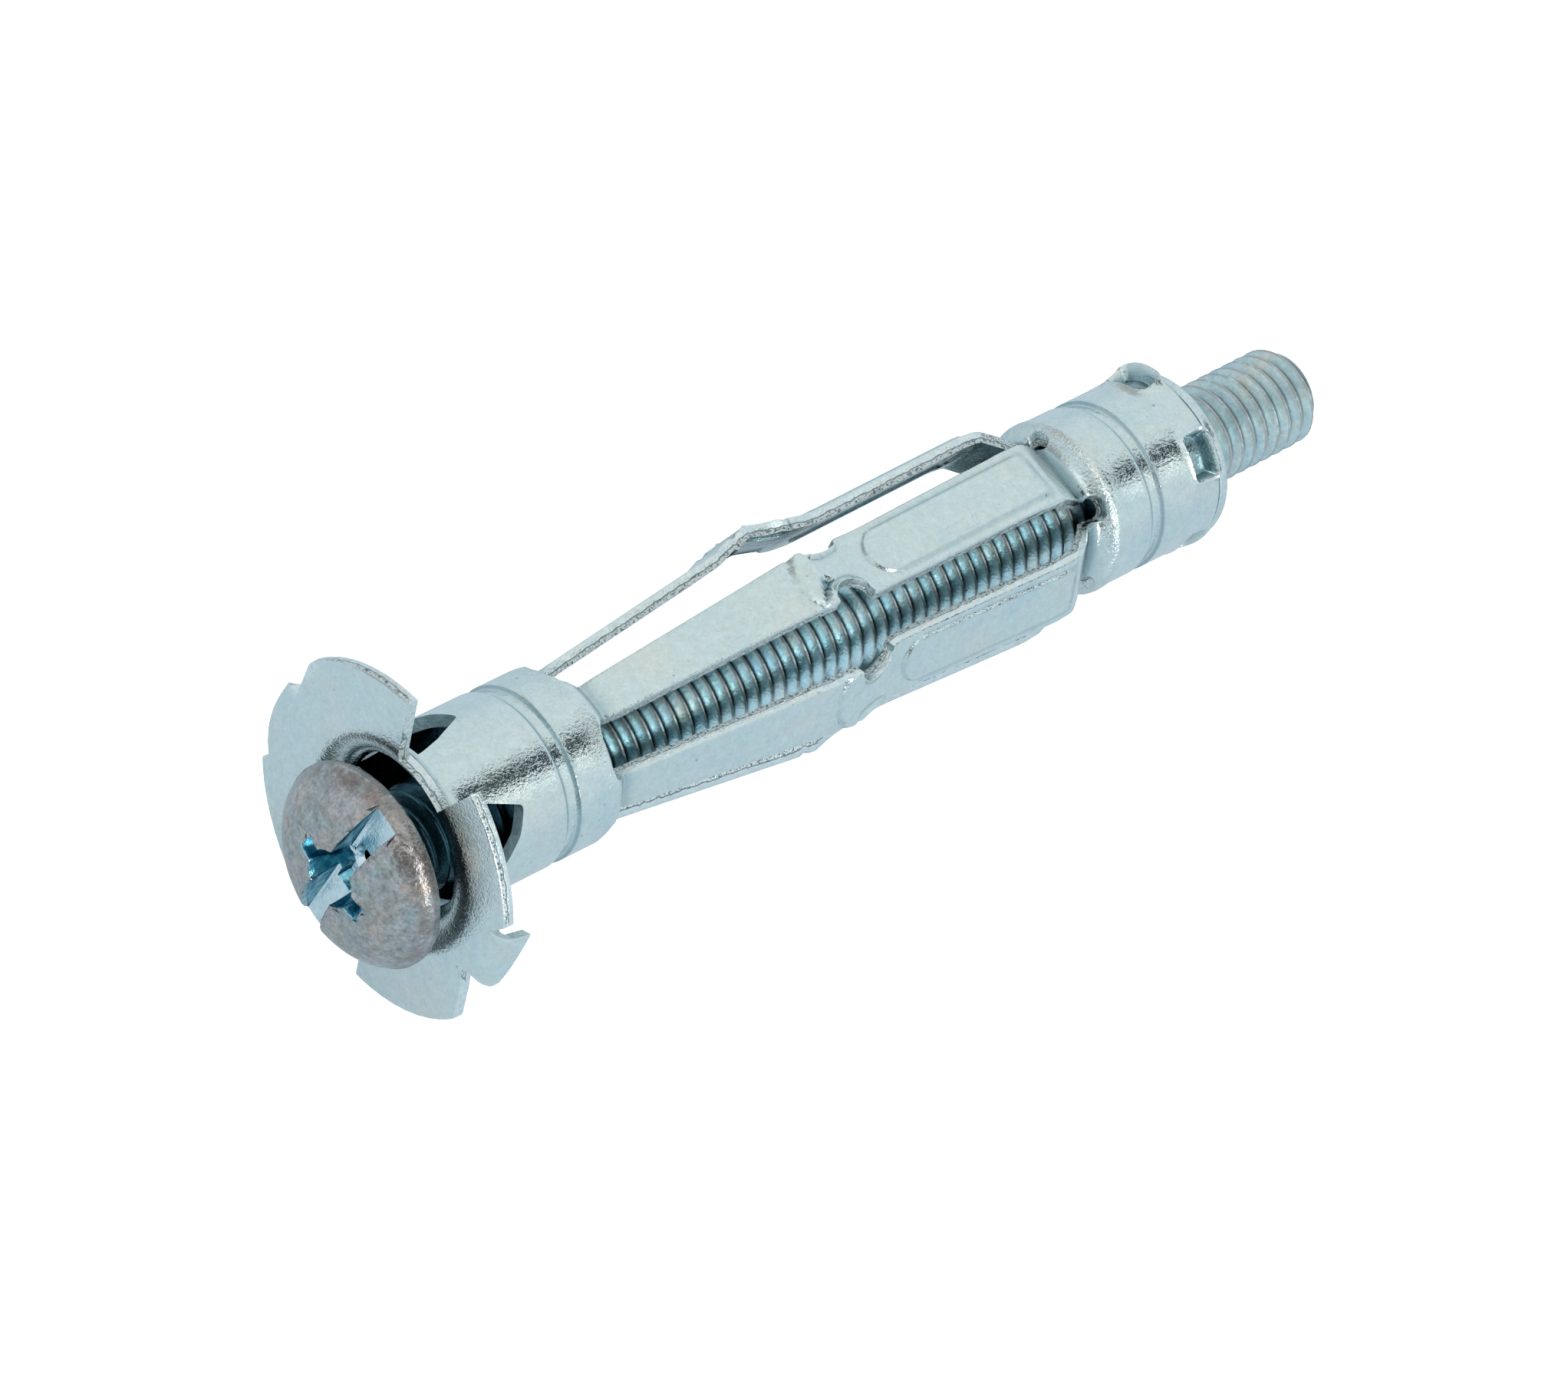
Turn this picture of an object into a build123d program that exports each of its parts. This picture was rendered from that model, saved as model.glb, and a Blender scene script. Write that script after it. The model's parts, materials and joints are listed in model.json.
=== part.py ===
from build123d import *
from math import sin, cos, tan, asin, acos, atan2, degrees, radians, hypot, sqrt
import os

os.makedirs("parts", exist_ok=True)

# Driving dimensions, in mm and degrees. s runs along the anchor's own axis, from the flange's
# front face toward the screw's tip. Angles are clock angles about that axis.
sheet = 0.6            # thickness of the folded sheet
collar_r = 4.2         # outside of both collars
bend_r = 1.2           # inside radius of the fold between flange and collar
flange_r = 8.075       # rim of the two petals
sleeve_len = 47.85     # flange front face to the rear end of the sleeve
petal_gap = 35.0       # opening between the petals
gap_clock = 56.0       # middle of one gap; the other is opposite
lip_r = collar_r + 0.55               # what is left of the fold in a gap
rear_collar = 7.75                    # length of the round part behind the legs
groove_s = (7.42, sleeve_len - 4.1)
groove_half = 0.38
groove_deep = 0.2
win_s = (1.5, 4.7)     # near and far edge of the four windows
leg_count = 5
leg_clock = 51.5
leg_root_s = 10.9
leg_rear_s = sleeve_len - rear_collar
leg_waist_s = leg_root_s + 0.411 * (leg_rear_s - leg_root_s)
# outer face of a leg: root, crest, neck, rear crest, rear valley
leg_h = (collar_r - 0.58, collar_r + 0.7, collar_r + 0.15, collar_r + 0.6, collar_r - 0.7)
leg_w = (collar_r * 0.238, collar_r * 0.345, collar_r * 0.386, collar_r * 0.41)   # half width: root, waist, neck, rear
notch_s = leg_waist_s + 1.9
notch_half = 1.45
notch_deep = 0.9
panel_raise = 0.1
slot_front = (leg_root_s - 0.95, 41.0)   # end of the front slots and their width in degrees
slot_rear = (leg_rear_s + 0.75, 26.0)
stake_len = 1.25
stake_s = sleeve_len - 0.75
stake_wide = collar_r / 2
stake_deep = 0.42
barb_deep = 1.15
barb_notch = (flange_r - 1.625, flange_r - 0.875)   # how far in the slit beside each barb reaches
nut_clear = 0.05
nut_len = 3.4
nut_front_s = sleeve_len - nut_len
nut_wall = 1.05
rim_thick = 0.65
thread_clear = 0.06
thread_major = 2 * (collar_r - sheet - nut_clear - nut_wall - thread_clear)
head_r = thread_major * 0.9734
head_under_s = -0.6
head_high = 3.15
shank_end_s = sleeve_len + 8.55
lean_deg = 0.8         # the screw leans by its play in the nut
lean_clock = 200.0
lean_s = sleeve_len - 1.35
slot_clock = 65.0
slot_wide = 1.2
slot_deep = 1.75
cross_r = 2.5
cross_wide = 1.0
cross_deep = 2.35

bore_r = collar_r - sheet
mid_r = collar_r - sheet / 2


def turned(obj, clock):
    return obj.rotate(Axis.Z, clock)


def ring_section(outer, inner):
    """Closed section in the plane of radius and s, from an outer and an inner path."""
    pts = [(r, s) for r, s in outer] + [(r, s) for r, s in reversed(inner)]
    return make_face(Polyline(*[(r, 0, s) for r, s in pts], close=True))


def arc_pts(cr, cs, rad, a0, a1, n):
    return [(cr + rad * cos(radians(a0 + (a1 - a0) * i / n)),
             cs + rad * sin(radians(a0 + (a1 - a0) * i / n))) for i in range(n + 1)]


def groove_pts(r, s0):
    """A rolled groove: the sheet dips in and comes back over its half width each way."""
    d, h = groove_deep, groove_half
    return [(r, s0 - h), (r - d, s0 - h * 0.4), (r - d, s0 + h * 0.4), (r, s0 + h)]


# Flange, fold and front collar: one revolved section of the sheet, dipping in where the legs begin.
root_h = leg_h[0]
front_end = leg_root_s + 0.9
neck = [(0.0, 0.0), (0.32, 0.1), (0.8, 0.88), (1.0, 1.0)]


def dip(s_from, s_to, r_from, r_to):
    return [(r_from + (r_to - r_from) * k, s_from + (s_to - s_from) * t) for t, k in neck]


front_outer = [(flange_r, 0.1), (flange_r, sheet)]
front_outer += arc_pts(collar_r + bend_r, sheet + bend_r, bend_r, 270, 180, 5)
front_outer += groove_pts(collar_r, groove_s[0])
front_outer += dip(leg_root_s - 1.0, leg_root_s, collar_r, root_h)
front_outer += [(root_h + 0.02, front_end)]
front_inner = [(flange_r - 0.1, 0.0)]
front_inner += arc_pts(collar_r + bend_r, sheet + bend_r, bend_r + sheet, 270, 180, 6)
front_inner += groove_pts(bore_r, groove_s[0])
front_inner += dip(leg_root_s - 1.0, leg_root_s, bore_r, root_h - sheet)
front_inner += [(root_h + 0.02 - sheet, front_end)]
front = revolve(ring_section(front_outer, front_inner), Axis.Z, 360)

# Rear collar: it opens with a rounded rim in front of the legs' valley, and ends in a plain edge.
valley_h = leg_h[4]
rear_start = leg_rear_s - 0.35
rise = [(0.0, 0.0), (0.3, 0.18), (0.72, 0.98), (1.0, 1.06), (1.5, 1.0)]
rear_outer = [(valley_h, rear_start)] + [(valley_h + (collar_r - valley_h) * k, leg_rear_s + 0.15 + 0.95 * t) for t, k in rise]
rear_outer += groove_pts(collar_r, groove_s[1])
rear_outer += [(collar_r, sleeve_len)]
rear_inner = [(valley_h - sheet, rear_start)] + [(valley_h - sheet + (collar_r - valley_h) * min(k, 1.0), leg_rear_s + 0.3 + 0.95 * t) for t, k in rise[:-1]]
rear_inner += groove_pts(bore_r, groove_s[1])
rear_inner += [(bore_r, sleeve_len)]
rear = revolve(ring_section(rear_outer, rear_inner), Axis.Z, 360)


# One leg, with its outer face toward +X: the bent strip, cut to its outline.
leg_line = [
    (leg_root_s - 0.75, leg_h[0] + 0.05), (leg_root_s + 0.2, leg_h[0] + 0.02),
    (leg_waist_s - 0.3, leg_h[1]), (leg_waist_s + 0.75, leg_h[1] + 0.02),
    (leg_waist_s + 3.9, leg_h[2]), (leg_waist_s + 5.4, leg_h[2] + 0.02),
    (leg_rear_s - 3.2, leg_h[3] - 0.02), (leg_rear_s - 2.0, leg_h[3] - 0.12),
    (leg_rear_s - 0.35, leg_h[4] + 0.02), (leg_rear_s + 0.75, leg_h[4] + 0.12)]


def strip(shift, thick, w):
    """The bent strip: its middle line runs half a thickness below the outer face."""
    pts = [(h - thick / 2 + shift, 0, s) for s, h in leg_line]
    line = FilletPolyline(*pts, radius=0.8)
    edge_pts = []
    for e in line.edges():
        n = 2 if e.geom_type == GeomType.LINE else 3
        for i in range(n):
            p = e @ (i / (n - 1))
            if not edge_pts or (p - edge_pts[-1]).length > 1e-4:
                edge_pts.append(p)
    outer, inner = [], []
    for i, p in enumerate(edge_pts):
        a = edge_pts[max(i - 1, 0)]
        b = edge_pts[min(i + 1, len(edge_pts) - 1)]
        t = (b - a).normalized()
        nrm = Vector(t.Z, 0, -t.X)
        outer.append(p + nrm * (thick / 2))
        inner.append(p - nrm * (thick / 2))
    face = make_face(Polyline(*outer, *reversed(inner), close=True))
    return extrude(face, amount=w, dir=(0, 1, 0), both=True)


def half_width(s):
    pts = [(leg_root_s - 1.0, leg_w[0] - 0.02), (leg_root_s, leg_w[0]), (leg_waist_s, leg_w[1]),
           (leg_waist_s + 4.0, leg_w[2]), (leg_rear_s - 1.5, leg_w[3]), (leg_rear_s + 1.0, leg_w[3] - 0.06)]
    for (s0, w0), (s1, w1) in zip(pts, pts[1:]):
        if s <= s1:
            return w0 + (w1 - w0) * (s - s0) / (s1 - s0)
    return pts[-1][1]


def outline():
    """The leg's outline seen from outside, with a rounded bite in each side at the waist."""
    side = [(half_width(s), s) for s in (leg_root_s - 1.0, leg_root_s, leg_waist_s - 0.75)]
    c, hh, dd = notch_s, notch_half, notch_deep
    w0, w1 = half_width(c - hh), half_width(c + hh)
    side += [(w0 + 0.02, c - hh - 0.28), (w0 - 0.06, c - hh)]
    for i in range(1, 7):
        a = radians(180 - 180 * i / 7)
        w = w0 + (w1 - w0) * i / 7
        side.append((w - dd * sin(a), c + hh * cos(a)))
    side += [(w1 - 0.06, c + hh), (w1 + 0.03, c + hh + 0.35), (half_width(c + hh + 1.2), c + hh + 1.2)]
    side += [(half_width(s), s) for s in (leg_waist_s + 4.0, leg_rear_s - 1.5, leg_rear_s + 1.0)]
    pts = side + [(-w, s) for w, s in reversed(side)]
    return extrude(make_face(Polyline(*[(collar_r / 2, w, s) for w, s in pts], close=True)), amount=collar_r, dir=(1, 0, 0))


def crease(sign):
    """The pressed corner ahead of each bite: a V that deepens toward the leg's edge."""
    half, deep = 0.75, 0.5
    v = make_face(Polyline((0, 0, 0), (deep, 0, -half), (deep, 0, half * 0.62), close=True))
    wedge = extrude(v, amount=2.2, dir=(0, 1, 0))
    wedge = wedge.rotate(Axis.Z, 24)
    wedge = wedge.moved(Location((leg_h[1] - 0.02, 0.35, leg_waist_s - 0.15)))
    return wedge if sign > 0 else wedge.mirror(Plane.XZ)


def panel():
    """The long raised panel on the rear half."""
    s0, s1, w, low = leg_waist_s + 4.3, leg_rear_s - 2.4, leg_w[2] - 0.4, collar_r / 2
    pts = [(low, w, s0 + w), (low, w, s1 - 0.5), (low, w - 0.3, s1), (low, -w + 0.3, s1), (low, -w, s1 - 0.5), (low, -w, s0 + w)]
    pts += [(low, w * cos(radians(a)), s0 + w - w * sin(radians(a))) for a in (150, 120, 90, 60, 30)]
    prism = extrude(make_face(Polyline(*pts, close=True)), amount=collar_r, dir=(1, 0, 0))
    return strip(panel_raise, sheet * 0.9, leg_w[2]) & prism


leg = strip(0, sheet, 2.2) & outline()
leg = leg - crease(1) - crease(-1)
leg = leg + panel()

# The slots' rounded ends in the two collars.
def slot_tool(s_end, degrees_wide, away, radius):
    half = collar_r * sin(radians(degrees_wide / 2))
    s_far = s_end + away
    lo, hi = min(s_end, s_far), max(s_end, s_far)
    face = make_face(Polyline((0, -half, lo), (0, half, lo), (0, half, hi), (0, -half, hi), close=True))
    pick = face.vertices().sort_by(Axis.Z)
    pick = pick[:2] if away > 0 else pick[-2:]
    face = fillet(pick, radius)
    return extrude(face, amount=6.0, dir=(1, 0, 0))


slot_mid = leg_clock + 180.0 / leg_count
front_slot = slot_tool(slot_front[0], slot_front[1], 4.0, 0.9)
rear_slot = slot_tool(slot_rear[0], slot_rear[1], -4.0, 0.8)

body = front
for k in range(leg_count):
    body = body - turned(front_slot, slot_mid + k * 360 / leg_count)
back = rear
for k in range(leg_count):
    back = back - turned(rear_slot, slot_mid + k * 360 / leg_count)

# Petals: the gaps are cut down to a short flared lip.
def sector(half_deg, r_in, r_out, s0, s1, clock):
    a = half_deg
    rr = r_out / cos(radians(a))
    face = make_face(Polyline((0, 0, s0), (rr * cos(radians(a)), rr * sin(radians(a)), s0),
                              (rr * cos(radians(a)), -rr * sin(radians(a)), s0), close=True))
    tool = extrude(face, amount=s1 - s0, dir=(0, 0, 1))
    if r_in > 0:
        tool = tool - Pos(0, 0, (s0 + s1) / 2) * Cylinder(r_in, (s1 - s0) + 1)
    return turned(tool, clock)


for k in (0, 180):
    body = body - sector(petal_gap / 2, lip_r, flange_r + 1, -0.5, 1.75, gap_clock + k)


# Windows: cut through the collar beside each gap, mirrored about the gap's middle.
def window(side, clock):
    s0, s1 = win_s
    # tangential place and s of the corners, for a window that leans away from the gap
    pts = [(22.0, s0), (25.6, 2.9), (35.0, s1), (38.0, s1), (54.0, s1 - 0.42), (68.0, s1 - 1.15), (76.0, 2.5), (79.0, s0)]
    mid = 50.0
    flat = [(0, mid_r * tan(radians(a - mid)), s) for a, s in pts]
    tool = extrude(make_face(Polyline(*flat, close=True)), amount=6.0, dir=(1, 0, 0))
    tool = turned(tool, mid)
    if side < 0:
        tool = tool.mirror(Plane.XZ)
    return turned(tool, clock)


for k in (0, 180):
    for side in (1, -1):
        body = body - window(side, gap_clock + k)


# Barbs: part of each petal's rim is cut free and folded back.
def polar(r, c):
    return (r * cos(radians(c)), r * sin(radians(c)))


barb_a = polar(flange_r - 0.875, 124.0 - gap_clock)
barb_b = polar(flange_r - 0.975, 150.0 - gap_clock)
rim_a = polar(flange_r + 0.05, 119.0 - gap_clock)
rim_b = polar(flange_r + 0.05, 173.0 - gap_clock)


def barb_cut(notch_r):
    """What the rim loses: the tab's own ground and a slit beside it."""
    far = [polar(flange_r + 3, c - gap_clock) for c in (173, 163, 152, 141, 130, 119)]
    notch = polar(notch_r, 152.0 - gap_clock + 9.0 * (notch_r - barb_notch[0]))
    pts = [rim_a, barb_a, barb_b, notch, rim_b] + far
    return extrude(make_face(Polyline(*[(x, y, -1.0) for x, y in pts], close=True)), amount=2.7, dir=(0, 0, 1))


def barb():
    """A bent tab: its section is folded through most of a right angle, then cut to a point."""
    ax, ay = barb_a
    bx, by = barb_b
    length = hypot(bx - ax, by - ay)
    ux, uy = (bx - ax) / length, (by - ay) / length
    ri, ro = 0.25, 0.25 + sheet
    inset = 0.3
    outer = [(-inset, 0.0)] + [(ro * sin(radians(a)), ro - ro * cos(radians(a))) for a in (0, 20, 40, 60, 82)]
    inner = [(-inset, sheet)] + [(ri * sin(radians(a)), ro - ri * cos(radians(a))) for a in (0, 20, 40, 60, 82)]
    tip = barb_deep + sheet
    lean = tan(radians(8))
    outer.append((outer[-1][0] + (tip - outer[-1][1]) * lean, tip))
    inner.append((inner[-1][0] + (tip - inner[-1][1]) * lean, tip))
    pts = outer + list(reversed(inner))
    face = make_face(Polyline(*[(x, 0, z) for x, z in pts], close=True))
    tab = extrude(face, amount=length, dir=(0, 1, 0))
    # pointed outline, seen square to the tab
    shape = [(0.02, -0.2), (0.02, sheet), (0.12, tip), (0.5, tip - 0.22), (1.5, tip - 0.62),
             (length * 0.8, sheet + 0.25), (length - 0.02, sheet * 0.8), (length - 0.02, -0.2)]
    cutter = extrude(make_face(Polyline(*[(-2, y, z) for y, z in shape], close=True)), amount=6, dir=(1, 0, 0))
    tab = tab & cutter
    # the tab's own x points outward, its y runs along the fold line
    return tab.moved(Location(Plane(origin=(ax, ay, 0), x_dir=(uy, -ux, 0), z_dir=(0, 0, 1))))


for k, notch_r in zip((0, 180), barb_notch):
    body = body - turned(barb_cut(notch_r), gap_clock + k) + turned(barb(), gap_clock + k)

# The legs join both collars.
for k in range(leg_count):
    back = back + turned(leg, leg_clock + k * 360 / leg_count)
sleeve = body + back

# Stakes: the collar's end is punched in over the nut at the slots' clock angles.
stake_clock = slot_mid - 2.0
for k in range(leg_count):
    t = stake_wide / 2
    h = stake_len / 2
    pad = make_face(Polyline((0, -t, stake_s - h), (0, t, stake_s - h), (0, t, stake_s + h), (0, -t, stake_s + h), close=True))
    pad = chamfer(pad.vertices(), 0.3)
    inner_pad = extrude(pad, amount=collar_r - sheet * 0.25 - stake_deep, dir=(1, 0, 0)) - Pos(0, 0, stake_s) * Cylinder(bore_r - stake_deep + 0.08, 4)
    sleeve = sleeve + turned(inner_pad, stake_clock + k * 360 / leg_count)
    tool = extrude(pad, amount=3.0, dir=(1, 0, 0)).moved(Location((collar_r - stake_deep, 0, 0)))
    sleeve = sleeve - turned(tool, stake_clock + k * 360 / leg_count)

# Nut: a flanged insert behind the sleeve's end, with a waist that the stakes are pressed into.
nut_pts = [(thread_major / 2 + thread_clear, nut_front_s), (bore_r - nut_clear, nut_front_s),
           (bore_r - nut_clear, stake_s - stake_len / 2 - 0.2),
           (bore_r - stake_deep - 0.02, stake_s - stake_len / 2 - 0.08), (bore_r - stake_deep - 0.02, sleeve_len - 0.1),
           (bore_r - nut_clear, sleeve_len - 0.02), (bore_r - nut_clear, sleeve_len),
           (collar_r - 0.02, sleeve_len), (collar_r, sleeve_len + 0.06), (collar_r, sleeve_len + rim_thick - 0.15),
           (collar_r - 0.15, sleeve_len + rim_thick), (thread_major / 2 + thread_clear + 0.25, sleeve_len + rim_thick),
           (thread_major / 2 + thread_clear, sleeve_len + rim_thick - 0.25)]
nut = revolve(make_face(Polyline(*[(r, 0, s) for r, s in nut_pts], close=True)), Axis.Z, 360)

# Screw: pan head with a cross and a straight slot, plain at the thread's major diameter.
hr, hu, hh = head_r, head_under_s, head_high
r_th = thread_major / 2
dome = [(hr - 0.18, hu), (hr, hu - 0.2), (hr - 0.06, hu - 0.8), (hr - 0.38, hu - 1.35), (hr - 0.95, hu - 1.9),
        (hr - 1.7, hu - 2.4), (hr - 2.9, hu - 2.88), (0, hu - hh)]
screw_pts = dome + [(0, shank_end_s), (r_th - 0.55, shank_end_s), (r_th, shank_end_s - 0.5), (r_th, hu + 0.25), (r_th + 0.25, hu)]
screw = revolve(make_face(Polyline(*[(r, 0, s) for r, s in screw_pts], close=True)), Axis.Z, 360)
top_s = hu - hh
slot_box = Pos(0, 0, top_s + slot_deep / 2 - 1) * Box(2 * head_r + 2, slot_wide, slot_deep + 2)
screw = screw - turned(slot_box, slot_clock)
for k in (0, 90):
    arm = make_face(Polyline((-cross_r, 0, top_s - 0.5), (cross_r, 0, top_s - 0.5), (cross_r - 0.25, 0, top_s + 0.6),
                             (0.9, 0, top_s + cross_deep), (-0.9, 0, top_s + cross_deep), (-cross_r + 0.25, 0, top_s + 0.6), close=True))
    screw = screw - turned(extrude(arm, amount=cross_wide / 2, dir=(0, 1, 0), both=True), slot_clock + k)
screw = screw - Pos(0, 0, top_s + cross_deep / 2 - 0.4) * Cone(0.8, 1.35, cross_deep + 0.6, rotation=(180, 0, 0))
# It leans about the middle of the nut, toward lean_clock at the head.
lean_axis = Axis((0, 0, lean_s), (-sin(radians(lean_clock)), cos(radians(lean_clock)), 0))
screw = screw.rotate(lean_axis, -lean_deg)

# Lying at rest: on the two corners of the petals beside the lower gap and on the rear rim.
half_gap = radians(petal_gap / 2)
low_f = flange_r * cos(half_gap)
tilt = atan2(low_f - collar_r, sleeve_len + rim_thick - sheet)
up = radians(gap_clock)
x_dir = (cos(up) * sin(tilt), sin(up), cos(up) * cos(tilt))
z_dir = (cos(tilt), 0, -sin(tilt))
lying = Location(Plane(origin=(0, 0, 0), x_dir=x_dir, z_dir=z_dir))
pieces = {"sleeve": sleeve, "nut": nut, "screw": screw}
placed = {n: p.moved(lying) for n, p in pieces.items()}
boxes = [p.bounding_box() for p in placed.values()]
cx = (min(b.min.X for b in boxes) + max(b.max.X for b in boxes)) / 2
cy = (min(b.min.Y for b in boxes) + max(b.max.Y for b in boxes)) / 2
cz = min(b.min.Z for b in boxes)
for name, p in placed.items():
    q = p.moved(Location((-cx, -cy, -cz)))
    solids = q.solids()
    print(name, "solids", len(solids), "volume", round(q.volume, 2), "faces", len(q.faces()), "valid", q.is_valid)
    q = solids[0] if len(solids) == 1 else Compound(children=list(solids))
    q.label = name
    export_step(q, "parts/" + name + ".step")
print("tilt", degrees(tilt), "origin of the axis", (-cx, -cy, -cz))
box = placed["screw"].bounding_box()
print("head end of the screw", box.min.X - cx, "low", box.min.Z - cz)
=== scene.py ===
# %% [markdown]
# A hollow wall anchor, dressed for its portrait
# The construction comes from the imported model: a sleeve of folded sheet, a nut staked into its rear
# collar and a machine screw. This notebook loads that frame, sets up the camera and the light, and
# then gives each piece the finer shape and the plated surface that the real one shows.

# %% Load the frame
import json
import math
from contextlib import contextmanager

import bpy
import numpy as np
from mathutils import Matrix, Vector


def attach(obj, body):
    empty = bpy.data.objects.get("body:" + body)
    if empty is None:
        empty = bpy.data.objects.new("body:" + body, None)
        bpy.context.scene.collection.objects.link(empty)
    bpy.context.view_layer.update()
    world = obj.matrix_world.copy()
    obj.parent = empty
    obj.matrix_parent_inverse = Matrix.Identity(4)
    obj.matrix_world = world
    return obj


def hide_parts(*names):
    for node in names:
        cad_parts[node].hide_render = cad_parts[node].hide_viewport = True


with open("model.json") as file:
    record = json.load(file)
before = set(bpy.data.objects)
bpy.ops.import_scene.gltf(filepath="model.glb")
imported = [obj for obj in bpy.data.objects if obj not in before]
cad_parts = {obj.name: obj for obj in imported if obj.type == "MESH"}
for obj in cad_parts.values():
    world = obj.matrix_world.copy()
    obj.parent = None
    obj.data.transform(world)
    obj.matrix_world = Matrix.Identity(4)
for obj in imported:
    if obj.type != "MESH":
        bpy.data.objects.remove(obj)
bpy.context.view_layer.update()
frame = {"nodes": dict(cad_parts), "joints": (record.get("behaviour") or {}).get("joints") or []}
scene = bpy.context.scene
print("nodes:", sorted(frame["nodes"]))

# %% [markdown]
# The anchor's own axis
# The anchor lies on two corners of its flange and on its rear rim, so its axis slopes a little. Every
# piece here is modelled upright around Z, in millimetres, with the flange's front face at zero, and
# is then laid down by one matrix. The same few sizes that drive the solids give that matrix. The
# screw has a second matrix, because it leans a little within its play in the nut.

# %% Where the anchor lies
SHEET, COLLAR_R, FLANGE_R = 0.6, 4.2, 8.075
SKIN_R = FLANGE_R - 0.012                         # the skin stays just inside the solid
SLEEVE_END, RIM = 47.85, 0.65
GAP_CLOCK, GAP_WIDE = 56.0, 35.0
JOINT_S = 46.5
LEAN, LEAN_CLOCK = math.radians(0.8), math.radians(200.0)

half_gap = math.radians(GAP_WIDE / 2)
tilt = math.atan2(FLANGE_R * math.cos(half_gap) - COLLAR_R, SLEEVE_END + RIM - SHEET)
gap_up = math.radians(GAP_CLOCK)
along = Vector((math.cos(tilt), 0.0, -math.sin(tilt)))
clock_0 = Vector((math.cos(gap_up) * math.sin(tilt), math.sin(gap_up),
                  math.cos(gap_up) * math.cos(tilt)))
clock_90 = along.cross(clock_0)
nut_middle = Vector(frame["joints"][0]["pos_m"])
flange_middle = nut_middle - along * (JOINT_S / 1000)


def laid(v):
    """A direction or offset in the anchor's own frame, given in metres in the shared frame."""
    return clock_0 * v[0] + clock_90 * v[1] + along * v[2]


def placed(x, y, z, middle):
    """The matrix that has these three axes and this middle."""
    return Matrix(((*x, 0), (*y, 0), (*z, 0), (*middle, 1))).transposed()


LAY = Matrix.Diagonal((0.001, 0.001, 0.001, 1)) @ placed(clock_0, clock_90, along,
                                                         [v * 1000 for v in flange_middle])
lean_about = Vector((-math.sin(LEAN_CLOCK), math.cos(LEAN_CLOCK), 0))
to_joint = Matrix.Translation((0, 0, JOINT_S))
from_joint = Matrix.Translation((0, 0, -JOINT_S))
LEANING = to_joint @ Matrix.Rotation(-LEAN, 4, lean_about) @ from_joint
print("flange centre at", [round(v * 1000, 3) for v in flange_middle], "mm; tilt",
      round(math.degrees(tilt), 2))

# %% [markdown]
# The camera
# The photograph looks down on the anchor from the head's side with a long lens, and it is turned
# about its line of sight. The place, the direction and that roll were worked out from the round
# edges of the collars and the head, in the anchor's own frame, so the camera follows the anchor.

# %% Camera
eye = flange_middle + laid((0.07676, 0.26831, -0.18042))
right = Vector((0.747719, -0.585819, 0.312622))
upward = Vector((0.399135, 0.772779, 0.493462))
lens = bpy.data.cameras.new("photo_camera")
lens.sensor_width = 36.0
lens.sensor_fit = "HORIZONTAL"
lens.lens = 177.2
lens.shift_x = -0.001
lens.clip_start = 0.01
camera = bpy.data.objects.new("photo_camera", lens)
camera.matrix_world = placed(right, upward, right.cross(upward), eye)
scene.collection.objects.link(camera)
scene.camera = camera
print("camera at", [round(v, 4) for v in eye])

# %% [markdown]
# Small tools
# Three habits keep operators safe: deselect everything first, work in edit mode only on the piece at
# hand, and apply each modifier as soon as it is set. A turned piece is a circle that is extruded from
# ring to ring and resized each time, as a potter pulls a wall.

# %% Helpers for all pieces
MERGE = 1e-4                                      # corners closer than this, in mm, become one


def only(obj):
    """Makes obj the one selected and active object."""
    bpy.ops.object.select_all(action="DESELECT")
    obj.select_set(True)
    bpy.context.view_layer.objects.active = obj


@contextmanager
def editing(obj):
    """Edit mode on one piece, with its whole mesh selected."""
    only(obj)
    bpy.ops.object.mode_set(mode="EDIT")
    bpy.ops.mesh.select_all(action="SELECT")
    yield
    bpy.ops.object.mode_set(mode="OBJECT")


def applied(obj, kind, **settings):
    """Adds a modifier, sets it and applies it."""
    only(obj)
    m = obj.modifiers.new(kind.lower(), kind)
    for key, value in settings.items():
        setattr(m, key, value)
    bpy.ops.object.modifier_apply(modifier=m.name)


def fresh(add, name=None, **settings):
    """A new primitive, alone in the selection."""
    bpy.ops.object.select_all(action="DESELECT")
    add(**settings)
    obj = bpy.context.object
    obj.name = name or obj.name
    return obj


def points_of(obj):
    p = np.empty(len(obj.data.vertices) * 3)
    obj.data.vertices.foreach_get("co", p)
    return p.reshape(-1, 3)


def set_points(obj, p):
    obj.data.vertices.foreach_set("co", np.asarray(p, dtype=float).ravel())
    obj.data.update()


def outward(obj):
    """Merges doubles and turns all faces outward."""
    with editing(obj):
        bpy.ops.mesh.remove_doubles(threshold=MERGE)
        bpy.ops.mesh.normals_make_consistent(inside=False)
    return obj


def turned_over(obj):
    """Turns all faces to their other side."""
    with editing(obj):
        bpy.ops.mesh.flip_normals()


def dropped(obj, kind, chosen):
    """Deletes the faces or edges that chosen picks."""
    with editing(obj):
        bpy.ops.mesh.select_mode(type=kind)
        bpy.ops.mesh.select_all(action="DESELECT")
    for part in obj.data.polygons if kind == "FACE" else obj.data.edges:
        part.select = bool(chosen(part))
    bpy.ops.object.mode_set(mode="EDIT")
    bpy.ops.mesh.delete(type=kind)
    bpy.ops.mesh.select_mode(type="VERT")
    bpy.ops.object.mode_set(mode="OBJECT")


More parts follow.
